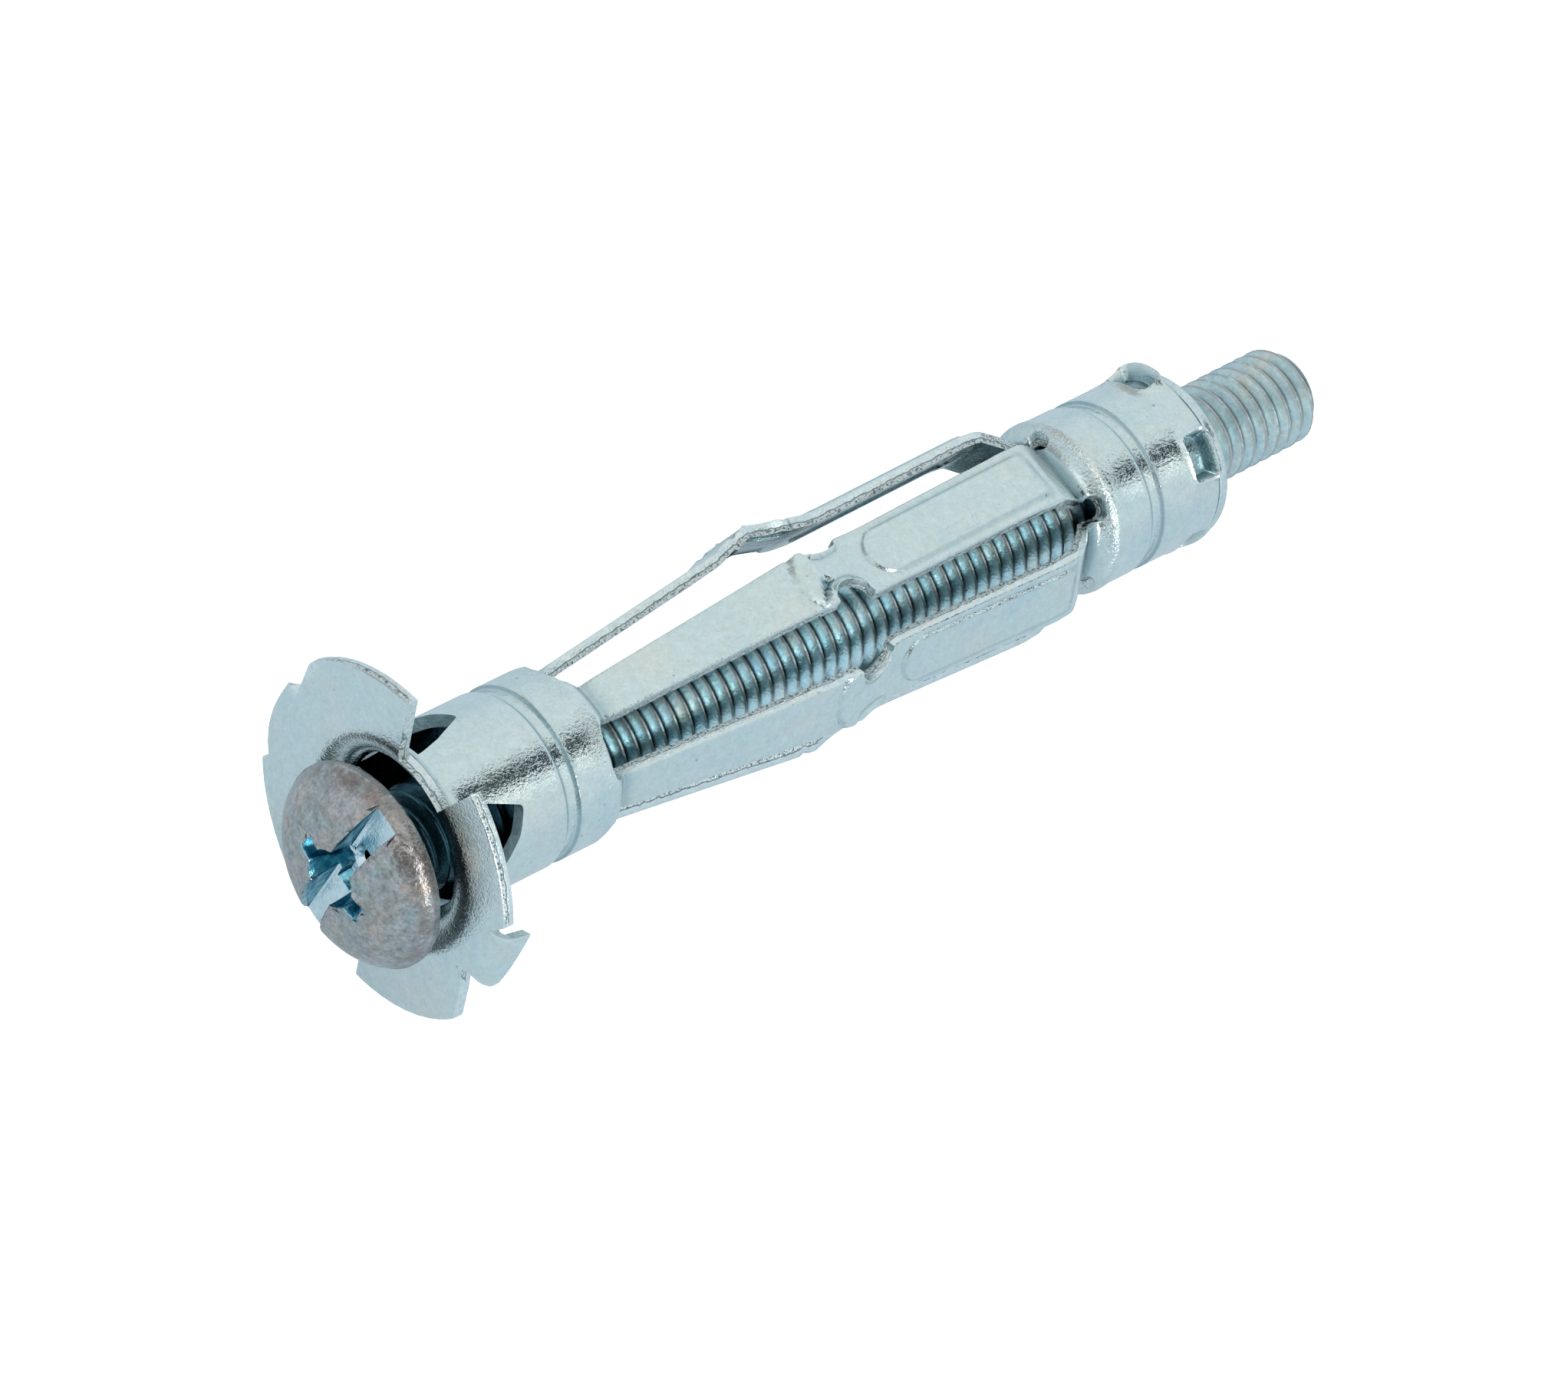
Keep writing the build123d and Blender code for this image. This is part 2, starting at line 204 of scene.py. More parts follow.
def turned_piece(name, rings, segments, loop=False):
    """A turned shape from (radius, height) rings: extrude, resize, and so on up the list."""
    r0, z0 = rings[0]
    obj = fresh(bpy.ops.mesh.primitive_circle_add, name, vertices=segments, radius=r0,
                location=(0, 0, z0))
    bpy.ops.object.transform_apply(location=True)
    with editing(obj):
        for (ra, za), (rb, zb) in zip(rings, rings[1:]):
            bpy.ops.mesh.extrude_region_move(TRANSFORM_OT_translate={"value": (0, 0, zb - za)})
            if abs(rb - ra) > 1e-6:
                bpy.ops.transform.resize(value=(rb / ra, rb / ra, 1), center_override=(0, 0, zb))
        bpy.ops.mesh.select_all(action="SELECT")
        if loop:
            bpy.ops.mesh.remove_doubles(threshold=MERGE)
        else:
            bpy.ops.mesh.fill_holes(sides=0)
    return outward(obj)


def cutter(name, corners, pull):
    """A flat outline, from a circle whose corners are moved into place, pulled out to a solid."""
    obj = fresh(bpy.ops.mesh.primitive_circle_add, name, vertices=len(corners), radius=1,
                fill_type="NGON")
    set_points(obj, corners)
    with editing(obj):
        bpy.ops.mesh.extrude_region_move(TRANSFORM_OT_translate={"value": tuple(pull)})
    return outward(obj)


def cut(obj, tool):
    """Takes the tool's solid out of the piece. The cut walls get the tool's material."""
    applied(obj, "BOOLEAN", operation="DIFFERENCE", solver="EXACT", object=tool)
    bpy.data.objects.remove(tool)


def joined(obj, *others):
    only(obj)
    for o in others:
        o.select_set(True)
    bpy.ops.object.join()
    return obj


def spun(obj, degrees):
    """Turns a mesh about the anchor's own axis."""
    obj.data.transform(Matrix.Rotation(math.radians(degrees), 4, "Z"))
    return obj


def smooth(t):
    t = np.clip(t, 0.0, 1.0)
    return t * t * (3 - 2 * t)


def ridge_at(x, wide):
    """A bell that is 1 at zero and fades over about its width."""
    return np.exp(-(x / wide) ** 2)


def finishes(obj, *names):
    """Gives a piece its material slots. A material is made where it is first named."""
    for name in names:
        obj.data.materials.append(bpy.data.materials.get(name) or bpy.data.materials.new(name))


def lined(tool, piece, slot):
    """Gives a cutting tool the piece's materials, and all its faces the one for cut walls."""
    for m in piece.data.materials:
        tool.data.materials.append(m)
    for f in tool.data.polygons:
        f.material_index = slot
    return tool


def point_value(obj, name, values):
    """Stores one number per corner, for the finish to read."""
    a = obj.data.attributes.get(name) or obj.data.attributes.new(name, "FLOAT", "POINT")
    a.data.foreach_set("value", np.asarray(values, dtype=float))


def smoothed(obj, angle):
    """Smooth shading, but for edges sharper than the angle."""
    only(obj)
    bpy.ops.object.shade_smooth_by_angle(angle=math.radians(angle))


def laid_down(obj, matrix=LAY):
    obj.data.transform(matrix)
    obj.data.update()
    print(obj.name, "triangles", sum(len(p.vertices) - 2 for p in obj.data.polygons))

# %% [markdown]
# The sleeve: one blank, punched and rolled up
# The real sleeve starts as a flat strip of sheet. It is punched, pressed and rolled into a tube, and
# its ends are formed into a flange and a collar. The same order works here. A flat grid is the blank:
# its columns run along the anchor and its rows run round it. The faces of the five slots are deleted,
# then every corner of the grid goes to its place on the finished sleeve's outer skin, and Solidify
# gives the sheet its thickness. A grid that follows the folds keeps every highlight clean.

# %% The blank's columns
LEGS, LEG_CLOCK = 5, 51.5
STEP = 360 / LEGS
ARM = [0, 0.21, 0.42, 0.6, 0.71, 0.78, 0.9, 0.965, 1.0]       # across half a leg
PANEL_ARM = [0, 0.4, 0.8, 1.05, 1.165, 1.275, 1.45]           # the same, in mm, on the raised panel
SLOT_STEPS = 8
arm_cols = 2 * (len(ARM) - 1)
SECTOR = arm_cols + SLOT_STEPS                                # columns in one fifth
leg_fraction = np.array([-a for a in reversed(ARM)] + ARM[1:])
STAKE_OFF = [0, 3, 6, 9, 11.2, 12.8, 13.9, 14.9, 16.3, 19.5, 24.5, 30, 36]
STAKE_AT = 34.0                                               # degrees from a leg's middle
print("columns round the sleeve:", LEGS * SECTOR)

# %% The blank's rows
LEG_LINE = [(10.9, 3.62), (11.4, 3.66), (22.9, 4.94), (24.0, 4.99), (26.8, 4.35), (28.3, 4.37),
            (36.9, 4.78), (38.1, 4.68), (39.75, 3.52), (40.6, 3.55)]
HALF_WIDTH = [(9.9, 0.98), (10.9, 1.0), (22.9, 1.45), (26.9, 1.62), (38.6, 1.72), (41.1, 1.66)]
SLOT_FRONT, ROUND_FRONT = 9.95, 0.9
SLOT_REAR, ROUND_REAR = 40.85, 0.8
GROOVES = (7.42, 43.75)
BITE_S, BITE_HALF = 25.15, 1.15
CREASE = (22.5, 0.48)
PANEL = (27.2, 37.7, 1.22)                                    # begin, end and half width
STAKE_S = (46.42, 47.62)
COLLAR_W = 1.9                                                # half a leg's width where it joins
BEND_AT = (5.4, 1.8)                                          # centre of the flange's bend
OUTSIDE, INSIDE = 1.2, 1.8                                    # from there to the two skins


def bend_line(radius):
    """(radius, height) along the flange's bend, from the flange to the collar."""
    turns = [math.radians(a) for a in range(270, 179, -10)]
    return [(BEND_AT[0] + radius * math.cos(a), BEND_AT[1] + radius * math.sin(a)) for a in turns]


flat_r = [SKIN_R - 0.07, 7.9, 7.6, 7.2, 6.8, 6.4, 6.0, 5.7]
flange_path = [(SKIN_R, SHEET - 0.07)] + [(r, SHEET) for r in flat_r] + bend_line(OUTSIDE)
in_path = [(SKIN_R - 0.02, 0.06)] + [(r, 0.0) for r in flat_r] + bend_line(INSIDE)
groove_rows = [-0.46, -0.41, -0.35, -0.29, -0.24, -0.1, 0.1, 0.24, 0.29, 0.35, 0.41, 0.46]
collar_rows = [2.2, 2.7, 3.3, 3.9, 4.5, 5.1, 5.7, 6.2, 6.6, 6.8] + [GROOVES[0] + d for d in groove_rows]
collar_rows += [8.1, 8.4, 8.8, 9.2, 9.5, 9.7, 9.8, 9.88]
leg_rows = [SLOT_FRONT + ROUND_FRONT * (1 - math.cos(math.radians(a)))
            for a in (0, 18, 32, 45, 58, 70, 80, 90)]
leg_rows += [11.0, 11.3, 11.7, 12.3, 13.0, 14.0, 15.2, 16.5, 17.8, 19.0, 20.0, 20.8, 21.4, 21.9, 22.25,
             22.5, 22.7, 22.85, 23.0, 23.15, 23.28, 23.45, 23.6, 23.75, 23.9]
leg_rows += [BITE_S - BITE_HALF * math.cos(math.radians(a)) for a in range(0, 181, 10)]
leg_rows += [26.4, 26.6, 26.8, 27.0, 27.14, 27.26, 27.4, 27.6, 27.9, 28.3, 28.8, 29.4, 30.2, 31.2, 32.4,
             33.6, 34.8, 35.8, 36.5, 37.0, 37.35, 37.64, 37.76,
             38.0, 38.25, 38.5, 38.75, 39.0, 39.25, 39.45, 39.62, 39.78, 39.92]
leg_rows += [SLOT_REAR - ROUND_REAR * (1 - math.sin(math.radians(a)))
             for a in (0, 12, 24, 36, 48, 60, 74, 90)]
rear_rows = [40.93, 41.02, 41.14, 41.28, 41.45, 41.7, 42.0, 42.4, 42.8, 43.1]
rear_rows += [GROOVES[1] + d for d in groove_rows]
rear_rows += [44.4, 44.7, 45.0, 45.3, 45.6, 45.9, 46.12, 46.28, 46.37, 46.43, 46.49, 46.56, 46.66, 46.82,
              47.02, 47.2, 47.36, 47.48, 47.56, 47.62, 47.68, 47.74, 47.79, 47.82, SLEEVE_END]
n_front = len(flange_path) + len(collar_rows)
n_leg = len(leg_rows)
rows_s = np.array([0.0] * len(flange_path) + collar_rows + leg_rows + rear_rows)
print("rows along the sleeve:", len(rows_s))


# %% The outer skin's height over the axis
VALLEY_H = 3.55                                   # where the legs dive into the rear collar


def rounded_line(s, spread=0.35):
    """The legs' bent line, with each corner eased over a short stretch."""
    shifts = np.linspace(-1, 1, 15)
    weight = 1 - np.abs(shifts) + 0.03
    total = sum(w * np.interp(s + spread * d, *zip(*LEG_LINE)) for w, d in zip(weight, shifts))
    return total / weight.sum()


def groove_dip(s):
    return sum(0.2 * smooth((0.44 - np.abs(s - g)) / 0.17) for g in GROOVES)


def end_roll(s):
    """How far the rear edge rolls in over its last 0.07 mm."""
    return 0.16 * np.clip((0.07 - (SLEEVE_END - s)) / 0.07, 0, 1) ** 2


def collar_height(s):
    """Radius of the round parts: the collars, their grooves, the front neck and the rear rim."""
    neck = np.interp((s - 9.9) / 1.0, [0, 0.3, 0.62, 0.85, 1.0], [0, 0.06, 0.5, 0.9, 1.0])
    rise = np.interp((s - 40.25) / 0.95, [0, 0.2, 0.45, 0.7, 0.9, 1.15, 1.7],
                     [0, 0.08, 0.45, 0.9, 1.07, 1.1, 1.0])
    front = COLLAR_R - 0.58 * neck
    rear = VALLEY_H + (COLLAR_R - VALLEY_H) * rise
    return np.where(s < 25, front, rear) - groove_dip(s) - end_roll(s)


def half_width(s, deep):
    """Half a leg's width, with bites of the given depth and rounded slot ends."""
    near = np.abs(s - BITE_S)
    w = np.interp(s, *zip(*HALF_WIDTH)) - deep * np.sqrt(1 - np.clip(near / BITE_HALF, 0, 1) ** 2)
    w = w + 0.05 * smooth((near - BITE_HALF * 0.98) / 0.2) * smooth((BITE_HALF + 0.6 - near) / 0.4)
    a = np.clip((SLOT_FRONT + ROUND_FRONT - s) / ROUND_FRONT, 0, 1)
    w = w + ROUND_FRONT * (1 - np.sqrt(1 - a ** 2))
    b = np.clip((s - (SLOT_REAR - ROUND_REAR)) / ROUND_REAR, 0, 1)
    return w + ROUND_REAR * (1 - np.sqrt(1 - b ** 2))


def panel_nose(al):
    """Where the raised panel begins, al from the leg's middle: its front end is a half circle."""
    s0, _, w = PANEL
    return s0 + w - np.sqrt(np.clip(w ** 2 - np.minimum(al, w) ** 2, 0, None))


def behind_crease(s, al):
    return s - CREASE[0] - CREASE[1] * al


def pressed(s, l):
    """What the press adds to a leg's face: two creases behind the crest and the raised panel."""
    al = np.abs(l)
    deep = 0.16 * np.clip((al - 0.15) / 0.4, 0, 1)
    crease = -deep * np.clip(1 - np.abs(behind_crease(s, al)) / 0.22, 0, 1)
    _, s1, w = PANEL
    corner = s1 - np.clip(al - (w - 0.3), 0, 0.3) * 0.8
    inside = np.minimum(np.minimum(s - panel_nose(al), corner - s), w - al)
    return crease + 0.1 * smooth((inside + 0.055) / 0.11)


def waist_facet(s, l):
    """A three-cornered dent between the crease and the bite, on one side of the upper leg, which also
    gets painted shade.
    """
    front = smooth((s - 24.0 + 0.536 * l) / 0.12)
    rear = smooth((24.6 - 1.227 * (l - 0.3) - s) / 0.12)
    return front * rear * smooth((l - 0.5 * (s - 24.0)) / 0.12)


def stake_arc(angle):
    """Arc length in mm from the middle of the nearest punched pocket."""
    return (((angle - STAKE_AT + STEP / 2) % STEP) - STEP / 2) * math.pi / 180 * COLLAR_R


def stake_pocket(s, off, curl=0.07):
    """Depth of the punched pockets, with the lip that curls up round them."""
    mid, half = sum(STAKE_S) / 2, (STAKE_S[1] - STAKE_S[0]) / 2
    dx = np.abs(off) - (1.05 - 0.25)
    dy = np.abs(s - mid) - (half - 0.25)
    d = np.hypot(np.clip(dx, 0, None), np.clip(dy, 0, None)) + np.minimum(np.maximum(dx, dy), 0) - 0.25
    hole = 0.55 * smooth((0.10 - d) / 0.24)
    lip = (curl * (0.6 + 0.8 * smooth((s - mid) / 0.6))
           * smooth((0.40 - d) / 0.26) * smooth((d + 0.02) / 0.1))
    return lip - hole

# %% Punch the slots out of the flat blank
n_rows, n_cols = len(rows_s), LEGS * SECTOR
sleeve = fresh(bpy.ops.mesh.primitive_grid_add, "sleeve_skin",
               x_subdivisions=n_cols, y_subdivisions=n_rows - 1, size=2)


def grid_places(obj, columns, rows):
    """Column and row of every corner of a flat grid."""
    share = (points_of(obj)[:, :2] + 1) / 2
    return np.rint(share[:, 0] * columns).astype(int), np.rint(share[:, 1] * rows).astype(int)


def in_slot(face):
    c = min(col[v] for v in face.vertices) % SECTOR
    r = min(row[v] for v in face.vertices)
    return c >= arm_cols and n_front <= r < n_front + n_leg - 1


col, row = grid_places(sleeve, n_cols, n_rows - 1)
print("blank:", n_cols, "columns,", n_rows, "rows,", len(col), "corners")
dropped(sleeve, "FACE", in_slot)
col, row = grid_places(sleeve, n_cols, n_rows - 1)
print("corners after punching:", len(col))

# %% Send every corner to its place
sector, m = np.divmod(col, SECTOR)
leg_no = sector % LEGS
s = rows_s[row]
zone_leg = (row >= n_front) & (row < n_front + n_leg)
on_arm = m <= arm_cols
v = np.where(on_arm, leg_fraction[np.minimum(m, arm_cols)], 0.0)
slot_t = np.where(on_arm, 0.0, (m - arm_cols) / SLOT_STEPS)
# The bites are punched unevenly: deep beside one slot, shallow beside the next.
bite_before = np.array([0.42, 0.8, 0.3, 0.6, 0.2])
bite_after = np.array([0.9, 0.25, 0.6, 0.3, 0.6])
w = half_width(s, np.where(v < 0, bite_before[leg_no], bite_after[leg_no]))

# On the raised panel the columns gather at its edge.
panel_zone = smooth((s - 26.7) / 0.5) * smooth((38.4 - s) / 0.5)
panel_mm = np.array(PANEL_ARM + [0.0] * (len(ARM) - len(PANEL_ARM)))
arm_index = np.abs(np.where(on_arm, m - (len(ARM) - 1), 0))
fixed = np.where(arm_index >= len(PANEL_ARM), v * w, panel_mm[arm_index] * np.sign(v))
l = np.where(on_arm, (1 - panel_zone) * v * w + panel_zone * fixed, 0.0)

# The rows bend round the panel's nose.
nose_pull = PANEL[2] - np.sqrt(PANEL[2] ** 2 - np.minimum(np.abs(l), PANEL[2] * 0.96) ** 2)
s = s + nose_pull * smooth((s - 26.2) / 1.0) * smooth((30.4 - s) / 3.2) * (zone_leg & on_arm)

# Angles on the round parts.
rear_w = half_width(np.array([SLOT_REAR]), 0.0)[0]
edge = np.where(s > 25, math.degrees(rear_w / COLLAR_R), math.degrees(COLLAR_W / COLLAR_R))
angle = np.where(on_arm, v * edge, edge + (STEP - 2 * edge) * slot_t)
steps = m - arm_cols
behind = steps < -SECTOR // 2                     # nearer to the pocket of the sector before
wrapped = np.where(behind, steps + SECTOR, steps)
stake_angle = np.sign(wrapped) * np.array(STAKE_OFF, float)[np.abs(wrapped)] + STAKE_AT
stake_angle = stake_angle - np.where(behind, STEP, 0)
gather = smooth((s - 44.3) / 1.5) * (row >= n_front + n_leg)
angle = (1 - gather) * angle + gather * stake_angle

# Height over the axis: flange and bend by their path, the rest by its own line.
path = np.array(flange_path)
in_flange = row < len(flange_path)
radius = collar_height(s)
radius[in_flange] = path[row[in_flange], 0]
s = np.where(in_flange, path[np.minimum(row, len(flange_path) - 1), 1], s)
off = stake_arc(angle)
pocket_no = (sector + np.rint((angle - STAKE_AT) / STEP).astype(int)) % LEGS
lips = np.array([0.2, 0.1, 0.0, 0.05, 0.2])[pocket_no]
swell = np.array([0.08, 0.0, 0.0, 0.0, 0.42])[pocket_no] * ridge_at(s - 47.5, 1.0) * ridge_at(off, 1.5)
radius = radius + (stake_pocket(s, off, lips) + swell) * (s > 45.0)
TOP_LEG, UPPER_LEG = 4, 0
crest = np.interp(s, [21.9, 23.1, 24.3, 26.6, 27.8, 36.5], [0, 0.27, 0.42, 0.4, 0.27, 0])
top_leg = crest * (leg_no == TOP_LEG)
leg_up = rounded_line(s) + pressed(s, l) + top_leg - 0.22 * waist_facet(s, l) * (leg_no == UPPER_LEG)
flatness = smooth((s - 10.3) / 1.6) * smooth((40.7 - s) / 1.9)
leg_share = smooth((s - 10.5) / 0.6) * smooth((40.5 - s) / 0.7) * zone_leg
height = (1 - leg_share) * radius + leg_share * leg_up

# The press draws up a lip round the bites.
use_arm = zone_leg & on_arm
in_bite = smooth((BITE_HALF * 0.95 - np.abs(s - BITE_S)) / 0.2) * use_arm
drawn = np.interp(np.abs(v), [0.6, 0.78, 0.9, 0.965, 1.0], [0, -0.05, 0.1, 0.13, 0.1])
height = height + in_bite * drawn


# The inner skin lies one thickness below. It copies what the press did.
def skin_slope(at, d=0.05):
    """Rise per mm along the anchor, without the grooves."""
    round_part = (collar_height(at + d) - collar_height(at - d)) / (2 * d) * (groove_dip(at) <= 0.001)
    leg_part = (rounded_line(at + d) - rounded_line(at - d)) / (2 * d)
    return np.where(zone_leg & (at > 10.9) & (at < 40.2), leg_part, round_part)


steep = np.minimum(np.sqrt(1 + skin_slope(s) ** 2), 1.3)
inner_height = height - SHEET * steep + end_roll(s) * (s > 47)
inner_s = s.copy()
under = np.array(in_path)[row[in_flange]]
inner_height[in_flange] = under[:, 0]
inner_s[in_flange] = under[:, 1]

# Sheared edges roll over a little, on the outer side only.
roll = np.interp(np.abs(v), [0, 0.93, 0.965, 1.0], [0, 0, 0.02, 0.1]) * use_arm
at_slot = ~on_arm & ((row == n_front) | (row == n_front + n_leg - 1))
before_slot = ~on_arm & ((row == n_front - 1) | (row == n_front + n_leg))
height = height - roll - 0.09 * at_slot - 0.02 * before_slot

# The round section is blended into the legs' flat one.
mix = flatness * use_arm
middle = np.radians(LEG_CLOCK + sector * STEP)
at_rim = smooth((s - 40.0) / 0.8)
turn = middle + np.where(use_arm, l / ((1 - at_rim) * height + at_rim * COLLAR_R), np.radians(angle))


def rolled_up(h, z):
    """Corners of a skin at height h over the axis: round, flat, or between the two."""
    fx = h * np.cos(middle) - l * np.sin(middle)
    fy = h * np.sin(middle) + l * np.cos(middle)
    return np.column_stack([(1 - mix) * h * np.cos(turn) + mix * fx,
                            (1 - mix) * h * np.sin(turn) + mix * fy, z])


set_points(sleeve, rolled_up(height, s))
below = sleeve.data.attributes.new("inner_skin", "FLOAT_VECTOR", "POINT")
below.data.foreach_set("vector", rolled_up(inner_height, inner_s).ravel())
outward(sleeve)
print("skin faces:", len(sleeve.data.polygons))

# %% Give the sheet its thickness
# The second material slot is for sheared edges: Solidify puts its rim faces there.
finishes(sleeve, "plate_face", "sheared_edge", "punched_wall")
FACE, SHEARED, PUNCHED = 0, 1, 2
n_skin = len(sleeve.data.vertices)
tube = [f for f in sleeve.data.polygons if f.center.z > 3]
if sum(f.normal.xy.dot(f.center.xy) for f in tube) < 0:
    turned_over(sleeve)
thicken = {"thickness": SHEET, "offset": -1, "use_even_offset": True, "use_rim": True}
applied(sleeve, "SOLIDIFY", material_offset_rim=SHEARED, **thicken)
point_value(sleeve, "through_sheet", np.arange(len(sleeve.data.vertices)) >= n_skin)
inner = np.empty(len(sleeve.data.vertices) * 3)
sleeve.data.attributes["inner_skin"].data.foreach_get("vector", inner)
p = points_of(sleeve)
p[n_skin:] = inner.reshape(-1, 3)[n_skin:]
set_points(sleeve, p)
sleeve.data.attributes.remove(sleeve.data.attributes["inner_skin"])
print("sheet corners:", len(p))

# %% [markdown]
# Gaps, windows and barbs
# The flange is two petals, with a gap of 35 degrees between them. Beside each gap two windows are
# punched through the bend, and at one end of each petal the rim is slit and folded back as a barb.
# Boolean cuts do the punching, because these outlines cross the grid at a slant. The barbs are small
# strips bent by placing the corners of a grid along the fold, and they get the same thickness.

# %% Punch the gaps and windows
LIP_R = COLLAR_R + 0.55                           # what is left of the bend in a gap
GAP_SIDE, WINDOW_OFF = GAP_WIDE / 2, 50.0         # degrees from a gap's middle
WALL_R, SILL = COLLAR_R - SHEET / 2, 1.5          # where a window's outline lies, and its low edge


def polar(r, degrees, z):
    return (r * math.cos(math.radians(degrees)), r * math.sin(math.radians(degrees)), z)


punches = []
for k in (0, 180):
    gap = [polar(r, GAP_CLOCK + k + d, -0.5)
           for r, d in ((11.0, -GAP_SIDE), (11.5, 0), (11.0, GAP_SIDE))]
    gap += [polar(LIP_R, GAP_CLOCK + k + d, -0.5) for d in np.linspace(GAP_SIDE, -GAP_SIDE, 9)]
    punches.append(lined(cutter("gap_punch", gap, (0, 0, 2.25)), sleeve, SHEARED))

window_line = [(22.0, SILL), (23.4, 2.1), (25.6, 2.9), (30.4, 3.9), (34.4, 4.62), (35.6, 4.7),
               (38.0, 4.7), (54.0, 4.28), (68.0, 3.55), (73.0, 3.0), (76.0, 2.5), (79.0, SILL)]
# The near windows' walls get the brightened finish, which is painted light; the far ones keep the
# sheet's face.
for k, tall, wall in ((0, 1.0, PUNCHED), (180, 0.28, FACE)):
    for side in (1, -1):
        faced = Matrix.Rotation(math.radians(GAP_CLOCK + k + WINDOW_OFF * side), 3, "Z")
        corners = [faced @ Vector((0, WALL_R * math.tan(math.radians(a - WINDOW_OFF)) * side,
                                   SILL + tall * (z - SILL))) for a, z in window_line]
        punches.append(lined(cutter("window_punch", corners, faced @ Vector((6, 0, 0))), sleeve, wall))
print("punches:", len(punches))

# %% Slit the rim and punch it all in one stroke
BARB_A, BARB_B = (FLANGE_R - 0.875, 124.0), (FLANGE_R - 0.975, 150.0)
for k, notch_r in ((0, 6.45), (180, 7.2)):
    slit = [(8.125, 119), BARB_A, BARB_B, (notch_r, 152 + 9 * (notch_r - 6.45)), (8.125, 173)]
    slit += [(11.0, c) for c in (173, 163, 152, 141, 130, 119)]
    corners = [polar(r, c + k, -1.0) for r, c in slit]
    punches.append(lined(cutter("barb_slit", corners, (0, 0, 2.7)), sleeve, SHEARED))
cut(sleeve, joined(*punches))
print("after punching:", len(sleeve.data.polygons), "faces")

# %% Fold the barbs
TIP_Z, FOLD_R = 1.75, 0.85
ax, ay, _ = polar(*BARB_A, 0)
bx, by, _ = polar(*BARB_B, 0)
fold_len = math.hypot(bx - ax, by - ay)
ux, uy = (bx - ax) / fold_len, (by - ay) / fold_len
fold_path = [(-0.3, 0.05), (-0.08, 0.012)]
fold_path += [(FOLD_R * math.sin(math.radians(a)), FOLD_R - FOLD_R * math.cos(math.radians(a)))
              for a in range(0, 83, 8)]
end_x, end_z = fold_path[-1]
fold_path += [(end_x + (z - end_z) * math.tan(math.radians(8)), z)
              for z in np.linspace(end_z + 0.12, TIP_Z, 8)]
near_edge = [(-1.0, 1.0), (0.35, 1.0), (0.7, 0.93), (TIP_Z - 0.72, 0.76), (TIP_Z - 0.42, 0.52),
             (TIP_Z - 0.16, 0.25), (TIP_Z, 0.04)]
far_edge = [(-1.0, 1.0), (0.02, 1.0), (0.12, 0.98), (0.3, 0.93), (0.5, 0.87), (0.73, 0.8), (1.33, 0.55),
            (1.6, 0.3), (TIP_Z, 0.04)]
# For each barb: clock, length, where it begins, its edge, how far it bellies out, its share of the
# full height, and how far its inner face leans.
barbs = []
for k, tab_len, begin, edge_line, belly, reach, slant in (
        (0, fold_len - 0.02, 0.02, near_edge, 0.0, 0.78, 0.42),
        (180, fold_len + 1.0, -0.4, far_edge, 0.4, 1.0, 0.0)):
    barb = fresh(bpy.ops.mesh.primitive_grid_add, x_subdivisions=10,
                 y_subdivisions=len(fold_path) - 1, size=2)
    i, j = grid_places(barb, 10, len(fold_path) - 1)
    i = i / 10
    px, pz = np.array(fold_path)[j].T
    aside = begin + (tab_len * np.interp(pz, *zip(*edge_line)) - begin) * i
    px = px + belly * np.sin(math.pi * i ** 0.8) * smooth(px / 0.6)
    pz = np.where(pz > 0.6, 0.6 + (pz - 0.6) * reach, pz)
    set_points(barb, np.column_stack([ax + px * uy + aside * ux, ay - px * ux + aside * uy, pz]))
    finishes(barb, "plate_face")
    if barb.data.polygons[0].normal.z > 0:
        turned_over(barb)
    n_barb = len(barb.data.vertices)
    applied(barb, "SOLIDIFY", **thicken)
    point_value(barb, "through_sheet", np.arange(len(barb.data.vertices)) < n_barb)
    q = points_of(barb)
    q[n_barb:, :2] += np.outer(slant * smooth((q[n_barb:, 2] - 0.15) / 0.6), (ux, uy))
    set_points(barb, q)
    barbs.append(spun(barb, k))
joined(sleeve, *barbs)

# %% Let the rim run a little out of round
# The photograph shows the flange 3 percent taller than wide. It still stops at the floor.
SIDE_LIMIT, FLOOR_GAP = 8.1, 0.01
p = points_of(sleeve)
r, clock = np.hypot(p[:, 0], p[:, 1]), np.arctan2(p[:, 1], p[:, 0])
stretch = 0.034 * np.cos(2 * (clock + math.radians(1.4))) * smooth((r - 5.6) / 1.6) * (p[:, 2] < 2.6)
p[:, :2] *= (1 + stretch)[:, None]
sideways, upright = np.array([clock_0.y, clock_90.y]), np.array([clock_0.z, clock_90.z])
side = p[:, :2] @ sideways
p[:, :2] += np.outer(np.clip(side, -SIDE_LIMIT, SIDE_LIMIT) - side, sideways)
low = p[:, :2] @ upright + p[:, 2] * along.z + flange_middle.z * 1000
p[:, :2] += np.outer(np.clip(FLOOR_GAP - low, 0, None), upright)
set_points(sleeve, p)
print("lowest point of the sleeve:", round(float(low.min()), 3), "mm")
